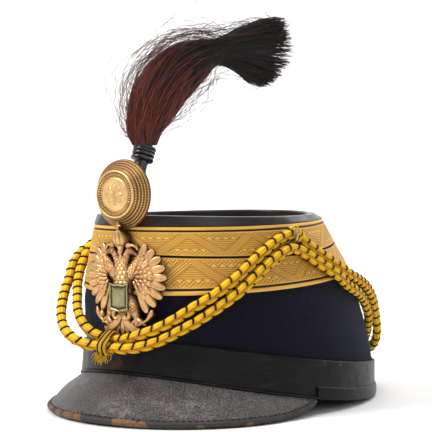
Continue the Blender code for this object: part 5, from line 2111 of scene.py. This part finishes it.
        # Each step: share of the outline, depth and painted shade, heaviest on the outer wall and in the
        # groove inside the border.
        steps = ((1.0, seat, 0.7), (1.0, seat + 0.0007, 0.6), (0.985, top - 0.0001, 0.1), (0.95, top, 0.0),
                 (0.90, top - 0.00005, 0.1), (0.86, top - 0.00050, 0.8), (0.81, top - 0.00055, 0.9),
                 (0.6, top - 0.0004, 0.22), (0.3, top - 0.00035, 0.18))
        for share, depth, dark in steps:
            flat = np.concatenate((loop * share, np.full((len(loop), 1), depth)), axis=1)
            flat[:, 1] += -0.165 * self.height
            rings.append(self.bent(flat))
            hollow.append([dark] * len(loop))
        ends = [ring.mean(axis=0) for ring in (rings[0], rings[-1])]
        return turned_piece("shield_face", np.array(rings), *ends, hollow=hollow)

    def build(self, gilt: Material, plain: Material) -> None:
        """Make and dress the plate and the shield.

        Args:
            gilt: The plate's material.
            plain: The shield's material.
        """
        dress(self.plate(), gilt, ["eagle_plate"])
        dress(self.shield(), plain, ["shield_plate"])


UPPER_ROUTE = (
    (-0.0707, -0.0356, 0.1093), (-0.0693, -0.0481, 0.1051), (-0.0666, -0.0612, 0.0986),
    (-0.0618, -0.0754, 0.0870), (-0.0544, -0.0870, 0.0776), (-0.0465, -0.0960, 0.0705),
    (-0.0400, -0.1034, 0.0642), (-0.0315, -0.1098, 0.0585), (-0.0235, -0.1132, 0.0537),
    (-0.0165, -0.1138, 0.0508), (-0.0100, -0.1135, 0.0492), (-0.0040, -0.1134, 0.0484),
    (0.0020, -0.1134, 0.0483), (0.0090, -0.1134, 0.0496), (0.0175, -0.1130, 0.0523),
    (0.0262, -0.1103, 0.0556), (0.0338, -0.1052, 0.0600), (0.0402, -0.0996, 0.0650),
    (0.0462, -0.0945, 0.0698), (0.0524, -0.0892, 0.0744), (0.0579, -0.0826, 0.0806),
    (0.0619, -0.0757, 0.0862), (0.0649, -0.0680, 0.0927), (0.0673, -0.0591, 0.0992),
    (0.0690, -0.0493, 0.1047), (0.0702, -0.0400, 0.1083), (0.0714, -0.0298, 0.1093),
    (0.0732, -0.0244, 0.1053), (0.0764, -0.0124, 0.0975), (0.0790, 0.0013, 0.0898),
    (0.0796, 0.0171, 0.0827), (0.0770, 0.0330, 0.0778), (0.0730, 0.0480, 0.0728),
    (0.0688, 0.0610, 0.0665), (0.0650, 0.0715, 0.0595), (0.0610, 0.0810, 0.0495),
    (0.0565, 0.0900, 0.0385), (0.0490, 0.0990, 0.0290), (0.0370, 0.1070, 0.0225),
    (0.0200, 0.1120, 0.0188), (0.0000, 0.1135, 0.0176), (-0.0200, 0.1120, 0.0188),
    (-0.0370, 0.1070, 0.0225), (-0.0490, 0.0990, 0.0290), (-0.0565, 0.0900, 0.0385),
    (-0.0610, 0.0810, 0.0495), (-0.0650, 0.0715, 0.0595), (-0.0688, 0.0610, 0.0665),
    (-0.0730, 0.0480, 0.0728), (-0.0770, 0.0330, 0.0778), (-0.0796, 0.0171, 0.0827),
    (-0.0790, 0.0013, 0.0898), (-0.0764, -0.0124, 0.0975), (-0.0732, -0.0244, 0.1053),
    (-0.0711, -0.0315, 0.1091), (-0.0707, -0.0350, 0.1093),
)

LOWER_ROUTE = (
    (-0.0732, -0.0362, 0.1013), (-0.0740, -0.0468, 0.0998), (-0.0734, -0.0601, 0.0961),
    (-0.0704, -0.0730, 0.0889), (-0.0651, -0.0830, 0.0800), (-0.0610, -0.0912, 0.0737),
    (-0.0552, -0.1002, 0.0672), (-0.0485, -0.1087, 0.0610), (-0.0410, -0.1158, 0.0553),
    (-0.0325, -0.1205, 0.0508), (-0.0240, -0.1222, 0.0474), (-0.0165, -0.1212, 0.0452),
    (-0.0100, -0.1194, 0.0445), (-0.0040, -0.1188, 0.0443), (0.0020, -0.1188, 0.0441),
    (0.0095, -0.1180, 0.0440), (0.0176, -0.1154, 0.0450), (0.0257, -0.1112, 0.0475),
    (0.0337, -0.1058, 0.0517), (0.0405, -0.1008, 0.0562), (0.0460, -0.0958, 0.0600),
    (0.0540, -0.0876, 0.0672), (0.0623, -0.0784, 0.0756), (0.0666, -0.0699, 0.0830),
    (0.0697, -0.0609, 0.0903), (0.0716, -0.0520, 0.0957), (0.0730, -0.0430, 0.0997),
    (0.0738, -0.0345, 0.1009), (0.0758, -0.0258, 0.0978), (0.0796, -0.0134, 0.0903),
    (0.0824, 0.0010, 0.0827), (0.0801, 0.0152, 0.0757), (0.0776, 0.0300, 0.0705),
    (0.0730, 0.0440, 0.0655), (0.0685, 0.0564, 0.0588), (0.0638, 0.0672, 0.0510),
    (0.0580, 0.0760, 0.0440), (0.0514, 0.0850, 0.0373), (0.0430, 0.0950, 0.0320),
    (0.0310, 0.1030, 0.0283), (0.0160, 0.1078, 0.0262), (0.0000, 0.1092, 0.0256),
    (-0.0160, 0.1078, 0.0262), (-0.0310, 0.1030, 0.0283), (-0.0430, 0.0950, 0.0320),
    (-0.0514, 0.0850, 0.0373), (-0.0580, 0.0760, 0.0440), (-0.0638, 0.0672, 0.0510),
    (-0.0685, 0.0564, 0.0588), (-0.0730, 0.0440, 0.0655), (-0.0776, 0.0300, 0.0705),
    (-0.0802, 0.0152, 0.0757), (-0.0824, 0.0010, 0.0827), (-0.0796, -0.0137, 0.0904),
    (-0.0758, -0.0259, 0.0978), (-0.0734, -0.0355, 0.1010),
)


def even_route(route: Sequence[Sequence[float]], shift: float, count: int) -> np.ndarray:
    """Space points evenly along a smooth curve through a route.

    Args:
        route: The route's own points.
        shift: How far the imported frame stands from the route's, along Y.
        count: How many points to return.

    Returns:
        The points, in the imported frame.
    """
    knots = np.array(route) + np.array((0.0, shift, 0.0))
    fine = smooth_rows(knots, (len(knots) - 1) * 16 + 1)
    way = travelled(fine)
    goals = np.linspace(0.0, way[-1], count)
    return np.stack([np.interp(goals, way, axis) for axis in fine.T], axis=-1)


def frames(points: np.ndarray) -> tuple[np.ndarray, np.ndarray, np.ndarray]:
    """Lay a frame along a curve round the hat, one way of it pointing out from the hat.

    Args:
        points: Points of the curve.

    Returns:
        The directions along the curve, out from the hat and across both, at each point.
    """
    along = units(np.gradient(points, axis=0))
    out = points - points.mean(axis=0)
    out[:, 2] = 0.0
    out = units(out - along * (out * along).sum(axis=1, keepdims=True))
    over = np.cross(along, out)
    return along, out, over * np.sign(-over[:, 2:])


class PadRow(NamedTuple):
    """One row of pads on a strand: where it starts and ends round it, and its shift along it."""

    start: float
    end: float
    offset: float


@dataclass
class CapCord:
    """The two strands of the cap cord: staggered yellow pads with black thread laid between."""

    shift: float
    diameter: float = 2 * CORD_RADIUS
    pitch: float = 0.0077
    sides: int = 36
    threads: int = 9
    tilt: float = 0.0021
    stations: int = 1050
    core_share: float = 0.80
    pad_share: float = 0.205
    thread_depth: float = 0.00028
    black_radius: float = 0.00060
    upper_row: PadRow = PadRow(math.radians(-150.0), math.radians(14.0), 0.0)
    lower_row: PadRow = PadRow(math.radians(14.0), math.radians(210.0), 0.5)

    def strand(self, name: str, path: np.ndarray) -> Item:
        """Make one strand's yellow pads.

        Args:
            name: The piece's name.
            path: Even points along it.

        Returns:
            The strand.
        """
        _, side, over = frames(path)
        along = np.linspace(0.0, travelled(path)[-1], len(path))[:, None]
        upper, lower = self.upper_row, self.lower_row
        turn = np.linspace(upper.start, lower.end, self.sides, endpoint=False)[None, :]
        high = turn < upper.end
        middle = np.where(high, (upper.start + upper.end) / 2, (lower.start + lower.end) / 2)
        half = np.where(high, upper.end - upper.start, lower.end - lower.start) / 2
        place = (along - self.tilt * np.cos(turn - middle)) / self.pitch
        place = place + np.where(high, upper.offset, lower.offset)
        share = place - np.floor(place)
        pad = np.clip(np.sin(math.pi * share), 0.0, 1.0) ** 0.42
        across = np.clip(np.cos((turn - middle) / half * math.pi / 2), 0.0, 1.0) ** 0.42
        lean = (turn - middle) * self.threads + (share - 0.5) * 1.4
        thread = np.abs(np.sin(lean / 2)) ** 0.7
        radius = self.diameter / 2 * (self.core_share + self.pad_share * pad * across)
        radius = radius - (1.0 - thread) * self.thread_depth
        radius = radius * (1.0 + 0.010 * np.sin(along * 700.0))
        grid = path[:, None] + side[:, None] * (radius * np.cos(turn))[..., None]
        grid = grid + over[:, None] * (radius * np.sin(turn))[..., None]
        lit = np.clip(0.12 + 0.95 * thread, 0.0, 1.0) * np.clip(pad * across * 1.35 - 0.25, 0.0, 1.0)
        return turned_piece(name, grid, path[0], path[-1], lit=lit)

    def black_thread(self, bench: Bench, name: str, path: np.ndarray, material: Material) -> Item:
        """Lay the black thread: a bowed turn over the upper row between every two of its pads.

        Args:
            bench: The shared trees.
            name: The piece's name.
            path: Even points along the strand.
            material: The thread's material.

        Returns:
            The thread as one object.
        """
        _, side, over = frames(path)
        length = travelled(path)[-1]
        lines = []
        places = np.arange(len(path))
        for row, reach in ((self.upper_row, 0.90), (self.lower_row, 0.62)):
            middle, half = (row.start + row.end) / 2, (row.end - row.start) / 2 * reach
            turn = np.linspace(middle - half, middle + half, 12)
            for index in range(1, int(length / self.pitch)):
                spot = (index - row.offset) * self.pitch + self.tilt * np.cos(turn - middle)
                spot = np.clip(spot / length * (len(path) - 1), 0, len(path) - 1)
                at, out, above = (np.stack([np.interp(spot, places, axis) for axis in rows.T], axis=-1)
                                  for rows in (path, side, over))
                bow = np.cos((turn - middle) / half * math.pi / 2)
                far = self.diameter / 2 * (self.core_share + 0.09 * bow) + 0.00020
                lines.append(at + out * (far * np.cos(turn))[:, None]
                             + above * (far * np.sin(turn))[:, None])
        return bench.rods(name, np.array(lines), self.black_radius, material, 5, lit=1.0)

    def build(self, bench: Bench, yellow: Material, black: Material) -> None:
        """Make and dress both strands.

        Args:
            bench: The shared trees.
            yellow: The pads' thread.
            black: The black thread.
        """
        for name, node, route in (("cord_strand_upper", "cord_upper", UPPER_ROUTE),
                                  ("cord_strand_lower", "cord_lower", LOWER_ROUTE)):
            path = even_route(route, self.shift, self.stations)
            strand = self.strand(name, path)
            dress(strand, yellow, [node])
            thread = self.black_thread(bench, name + "_thread", path, black)
            dress(thread)


@dataclass
class CordSlide:
    """The knot of wound thread that holds the strands together, with its frayed tuft."""

    shift: float
    upper: tuple[float, float, float] = (-0.0040, -0.1134, 0.0484)
    lower: tuple[float, float, float] = (-0.0040, -0.1188, 0.0443)
    wall: float = 0.0010
    length: float = 0.0074
    winds: int = 8
    thread_radius: float = 0.00058
    black_radius: float = 0.00062
    frays: int = 70
    fray_knots: int = 9
    fray_radius: float = 0.00019
    seed: int = 3

    def build(self, bench: Bench, yellow: Material, black: Material) -> None:
        """Make and dress the knot and its tuft.

        Args:
            bench: The shared trees.
            yellow: The yellow thread.
            black: The black thread.
        """
        upper = np.array(self.upper) + (0.0, self.shift, 0.0)
        lower = np.array(self.lower) + (0.0, self.shift, 0.0)
        middle = (upper + lower) / 2
        half = np.linalg.norm(upper - lower) / 2
        long_way = (upper - lower) / (2 * half)
        across = np.array((1.0, 0.0, 0.0))
        short_way = np.cross(across, long_way)
        reach = CORD_RADIUS + CORD_CLEARANCE + self.wall * 0.45
        turn = np.linspace(0.0, 2 * math.pi * self.winds, self.winds * 40 + 1)
        push = np.clip(np.sin(turn) * 4.0, -1.0, 1.0) * half
        bulge = 1.0 + 0.10 * np.sin(math.pi * turn / turn[-1])
        line = middle + np.outer(push, long_way) + circled(turn, reach * bulge, short_way, long_way)
        line = line + np.outer((turn / turn[-1] - 0.5) * (self.length - 0.001), across)
        knot = bench.rods("cord_knot", line[None], self.thread_radius, yellow, 8, lit=0.8)
        dress(knot, nodes=["cord_slide"])
        lying = line + (line - middle) * 0.05
        for name, first in (("cord_knot_black", 65), ("cord_knot_binding", 225)):
            turns = bench.rods(name, lying[first:first + 41][None], self.black_radius, black, 8, lit=1.0)
            dress(turns)
        chance = np.random.default_rng(self.seed)
        share = np.linspace(0.0, 1.0, self.fray_knots)[None, :, None]
        root = lower + np.array((0.0, -0.0030, -0.0030))
        start = root + chance.normal(0.0, 1.0, (self.frays, 1, 3)) * (0.0020, 0.0006, 0.0006)
        fall = np.stack((chance.normal(-0.0006, 0.0016, self.frays),
                         chance.normal(-0.0012, 0.0008, self.frays),
                         -chance.uniform(0.0025, 0.0064, self.frays)), axis=-1)[:, None]
        curl = chance.normal(0.0, 0.0006, (self.frays, self.fray_knots, 3)).cumsum(axis=1) * 0.5
        curl -= curl[:, :1]
        lines = start + fall * share + curl
        dress(bench.rods("cord_tuft", lines, self.fray_radius, yellow, 5, lit=0.85))


@dataclass
class Hooks:
    """The wire hooks that carry the upper strand, with the thread wound round the cord there."""

    wall: Wall
    wire: float = 0.0012
    along_share: float = -0.1612
    below_rim: float = 0.0133
    off_lace: float = 0.0025
    winds: int = 5
    wind_pitch: float = 0.00095
    winding_radius: float = 0.00048
    binding_radius: float = 0.00050
    loop_radius: float = 0.00055

    def side(self, along: float, height: float, proud: float) -> float:
        """Find how far out the lace lies at a place along the hat and a height.

        Args:
            along: The place along the hat.
            height: The height.
            proud: How far out of the wall the lace's front is.

        Returns:
            The distance from the hat's middle plane.
        """
        low, high = float(Level.LACE_MIDDLE), float(Level.LACE_TOP)
        point = self.wall.point(low, math.pi / 2, proud)
        for _ in range(24):
            level = (low + high) / 2
            front = float(self.wall.column("front", level)) * self.wall.length - proud
            back = float(self.wall.column("back", level)) * self.wall.length + proud
            angle = math.acos((2 * along - front - back) / (front - back))
            point = self.wall.point(level, angle, proud)
            low, high = (level, high) if point.z < height else (low, level)
        return point.x

    def build(self, bench: Bench, metal: Material, yellow: Material, black: Material) -> None:
        """Make and dress the hooks and the thread round them.

        Args:
            bench: The shared trees.
            metal: The wire.
            yellow: The yellow thread.
            black: The black thread.
        """
        bend = CORD_RADIUS + self.wire / 2 + CORD_CLEARANCE
        along = self.along_share * self.wall.length
        rise = self.wall.height - self.below_rim
        root = self.side(along, rise - bend, LACE_FRONT)
        heart = root + self.off_lace
        shift = self.wall.shift
        for tail, side in (("left", 1.0), ("right", -1.0)):
            line = [(side * root, along + shift, rise - bend)]
            for turn in np.linspace(-math.pi / 2, math.radians(200.0) - math.pi / 2, 25):
                out = heart + bend * math.cos(turn)
                line.append((side * out, along + shift, rise + bend * math.sin(turn)))
            wire = bench.rods("hook_wire_" + tail, np.array([line]), self.wire / 2, metal, 10)
            dress(wire, nodes=["hook_" + tail])
            path = even_route(UPPER_ROUTE, shift, 1400)
            strand_way, outward, over = frames(path)
            hook = np.array((side * heart, along + shift, rise))
            at = int(np.argmin(np.linalg.norm(path[:-30] - hook, axis=1) + (path[:-30, 0] * side < 0)))
            at += int(11 * side)
            turn = np.linspace(0.0, 2 * math.pi * self.winds, self.winds * 24 + 1)
            forward = turn / turn[-1] * self.winds * self.wind_pitch - 0.0024
            ring = path[at] + np.outer(forward, strand_way[at])
            ring = ring + circled(turn, CORD_RADIUS + 0.0004, outward[at], over[at])
            winds = np.array([ring[:49], ring[72:121]])
            winding = bench.rods("hook_winding_" + tail, winds, self.winding_radius, yellow, 7, lit=0.75)
            dress(winding)
            turns = ring[48:73][None]
            binding = bench.rods("hook_binding_" + tail, turns, self.binding_radius, black, 7, lit=1.0)
            dress(binding)
            turn = np.linspace(-0.7, math.pi + 0.7, 25)
            loops = []
            for lean, size, place in ((0.35, 0.0024, -0.0060), (-0.3, 0.0020, -0.0024)):
                loop = path[at] + outward[at] * (CORD_RADIUS - 0.0006) + strand_way[at] * place
                loop = loop + np.outer(np.cos(turn) * size * 0.8 + np.sin(turn) * lean * size, strand_way[at])
                loops.append(loop - np.outer(np.sin(turn) * size + size * 0.5, over[at]))
            loops = np.array(loops)
            looped = bench.rods("hook_loops_" + tail, loops, self.loop_radius, yellow, 7, lit=0.85)
            dress(looped)


COPPER_MARK = (0.062, 0.026, 0.012)
PALE_MARK = (0.140, 0.128, 0.120)
# Near black: painted shade inside a slit in the band, which the leather's geometry doesn't cut.
HOLE_SHADE_MARK = (0.001, 0.001, 0.001)
BAND_MARKS = tuple(Mark(Vector(place), reach, colour) for place, reach, colour in (
    ((0.0857, 0.0363, 0.0258), 0.0018, HOLE_SHADE_MARK), ((0.0858, 0.0363, 0.0232), 0.0018, HOLE_SHADE_MARK),
    ((0.0858, 0.0363, 0.0207), 0.0018, HOLE_SHADE_MARK), ((0.0863, 0.0330, 0.0167), 0.0010, PALE_MARK),
    ((0.0857, -0.0062, 0.0311), 0.0030, COPPER_MARK), ((0.0873, 0.0092, 0.0283), 0.0016, PALE_MARK),
    ((0.0849, 0.0270, 0.0290), 0.0016, COPPER_MARK), ((-0.0088, -0.0917, 0.0314), 0.0042, COPPER_MARK),
    ((-0.0050, -0.0918, 0.0335), 0.0040, COPPER_MARK), ((0.0639, -0.0540, 0.0405), 0.0012, PALE_MARK),
    ((0.0685, -0.0471, 0.0390), 0.0012, PALE_MARK)))
EDGE_PATCHES = tuple(Patch(Vector(place), reach) for place, reach in (
    ((-0.0486, -0.1020, 0.0035), 0.0075), ((-0.0365, -0.1124, 0.0038), 0.0060),
    ((-0.0245, -0.1175, 0.0032), 0.0085), ((-0.0145, -0.1198, 0.0028), 0.0065),
    ((0.0173, -0.1189, 0.0023), 0.0080), ((0.0243, -0.1165, 0.0015), 0.0075),
    ((0.0310, -0.1138, 0.0012), 0.0060), ((0.0593, -0.0959, 0.0005), 0.0040),
    ((0.0772, -0.0716, 0.0005), 0.0040), ((-0.0650, -0.0850, 0.0045), 0.0070),
    ((-0.0780, -0.0600, 0.0060), 0.0060)))
HAT_MIDDLE = Vector((0.0, 0.0, 0.10))


class Studio:
    """The floor, the lights and the camera."""

    eye = Vector((0.6043, -0.8032, 0.1595))
    right = Vector((0.7987, 0.6017, -0.0047))
    up = Vector((-0.0209, 0.0356, 0.9991))
    back = Vector((0.6014, -0.7979, 0.0410))
    lens = 130.6
    sky = 0.24

    def camera(self) -> None:
        """Set the camera at the photograph's viewing angle."""
        data = bpy.data.cameras.new("camera")
        data.lens = self.lens
        data.sensor_width = 36.0
        data.clip_end = 20.0
        item = put("camera", data)
        turned = Matrix((self.right, self.up, self.back)).transposed().to_4x4()
        item.matrix_world = Matrix.Translation(self.eye) @ turned
        bpy.context.scene.camera = item

    def lamp(self, name: str, place: Vector, size: float, power: float, target: Vector = HAT_MIDDLE) -> None:
        """Add a square area light.

        Args:
            name: The light's name.
            place: Where it stands.
            size: Length of its side.
            power: Its power in watts.
            target: What it faces.
        """
        data = bpy.data.lights.new(name, "AREA")
        data.shape = "SQUARE"
        data.size = size
        data.energy = power
        turned = (target - place).to_track_quat("-Z", "Y").to_matrix().to_4x4()
        put(name, data).matrix_world = Matrix.Translation(place) @ turned

    def floor(self) -> None:
        """Lay a pale floor that curves up into a backdrop behind the hat."""
        paint = Paint("studio_floor", (0.90, 0.90, 0.90), 0.75)
        cloud = paint.noise(3.0, 2.0)
        paint.feed("Base Color", paint.mix(cloud, (0.88, 0.88, 0.88), (0.92, 0.92, 0.92)))
        paint.set("Specular IOR Level", 0.15)
        mesh = bpy.data.meshes.new("studio_floor")
        profile = ((0.5, 0.0), (2.0, 0.0), (3.2, 0.0), (3.9, 0.12), (4.4, 0.5), (4.6, 1.1), (4.65, 3.6))
        sides = 96
        points = [(reach * math.cos(turn), reach * math.sin(turn), height)
                  for reach, height in profile for turn in full_turn(sides)] + [(0.0, 0.0, 0.0)]
        faces = quads(len(profile), sides, False, True)
        faces += [[len(points) - 1, (corner + 1) % sides, corner] for corner in range(sides)]
        mesh.from_pydata(points, [], faces)
        mesh.shade_smooth()
        mesh.materials.append(paint.material)
        put("studio_floor", mesh)

    def build(self) -> None:
        """Set up the whole studio."""
        self.camera()
        self.lamp("key_light", Vector((-1.0, -1.7, 1.7)), 0.8, 54.0)
        self.lamp("side_light", Vector((2.0, -0.9, 1.2)), 1.6, 8.0)
        self.lamp("top_light", Vector((0.1, 0.2, 2.1)), 1.2, 26.0)
        self.lamp("rear_light", Vector((0.6, 2.0, 1.2)), 1.2, 12.0)
        self.lamp("backdrop_light", Vector((-1.5, 2.0, 2.5)), 1.2, 75.0, Vector((-2.6, 3.5, 0.3)))
        world = bpy.data.worlds.new("studio")
        world.use_nodes = True
        sky = world.node_tree.nodes["Background"].inputs
        sky["Color"].default_value = (1.0, 1.0, 1.0, 1.0)
        sky["Strength"].default_value = self.sky
        bpy.context.scene.world = world
        bpy.context.scene.view_settings.view_transform = "Standard"
        self.floor()


def main() -> None:
    """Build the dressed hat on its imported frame."""
    logging.basicConfig(level=logging.INFO, format="%(name)s: %(message)s")
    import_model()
    Studio().build()
    wall = Wall.in_frame()
    bench = Bench(strand_tree(), repeat_tree())
    yellow = ThreadFinish("yellow_thread", (1.000, 0.640, 0.010), (0.360, 0.130, 0.002)).material()
    # A darker copy of the yellow thread: painted shade on the knot and its tuft.
    knot = ThreadFinish("shaded_knot_thread", (0.640, 0.360, 0.016), (0.160, 0.065, 0.006)).material()
    black = ThreadFinish("black_thread", (0.010, 0.007, 0.005), (0.005, 0.004, 0.003)).material()
    CapCord(wall.shift).build(bench, yellow, black)
    CordSlide(wall.shift).build(bench, knot, black)
    gilt = GiltFinish("stamped_gilt").material()
    cockade_gilt = GiltFinish("cockade_gilt", (0.830, 0.540, 0.230), (0.170, 0.072, 0.014), 0.36).material()
    wire = PlainMetalFinish("hook_wire", (0.62, 0.60, 0.56), (0.24, 0.16, 0.09)).material()
    shield = GiltFinish("shield_metal", (0.42, 0.38, 0.19), (0.050, 0.040, 0.015)).material()
    band = LeatherFinish("band_leather", (0.0050, 0.0046, 0.0050), (0.050, 0.045, 0.043), 0.34,
                         gloss=0.12, marks=BAND_MARKS).material()
    crown = LeatherFinish("crown_leather", (0.0095, 0.0065, 0.0065), (0.038, 0.028, 0.026), 0.34,
                          coat=0.15, gloss=0.35).material()
    peak = LeatherFinish("peak_leather", (0.062, 0.052, 0.052), (0.170, 0.148, 0.140), 0.42,
                         wrinkles=0.00034, gloss=0.6).material()
    socket = LeatherFinish("socket_lacquer", (0.008, 0.0075, 0.008), (0.04, 0.036, 0.04), 0.20,
                           coat=0.5).material()
    WallAndCrown(wall).build(WoolFinish().material(), crown)
    lace = LaceFinish().material()
    for tail, edge, step in (("upper", Level.LACE_TOP, -1.0), ("lower", Level.LACE_FOOT, 1.0)):
        band_of_lace = LaceBand(wall, "lace_weave_" + tail, edge, step, Level.LACE_MIDDLE - 0.02 * step)
        band_of_lace.build(lace, "lace_" + tail)
    FootLeather(wall).build(band)
    Peak(wall).build(bench, peak, WornEdgeFinish(patches=EDGE_PATCHES).material(), band, black)
    Cockade(wall).build(bench, cockade_gilt)
    tube = PlumeSocket(wall)
    tube.build(socket)
    Plume(tube).build(bench, HairFinish().material())
    Eagle(wall).build(gilt, shield)
    Hooks(wall).build(bench, wire, yellow, black)


if __name__ == "__main__":
    main()
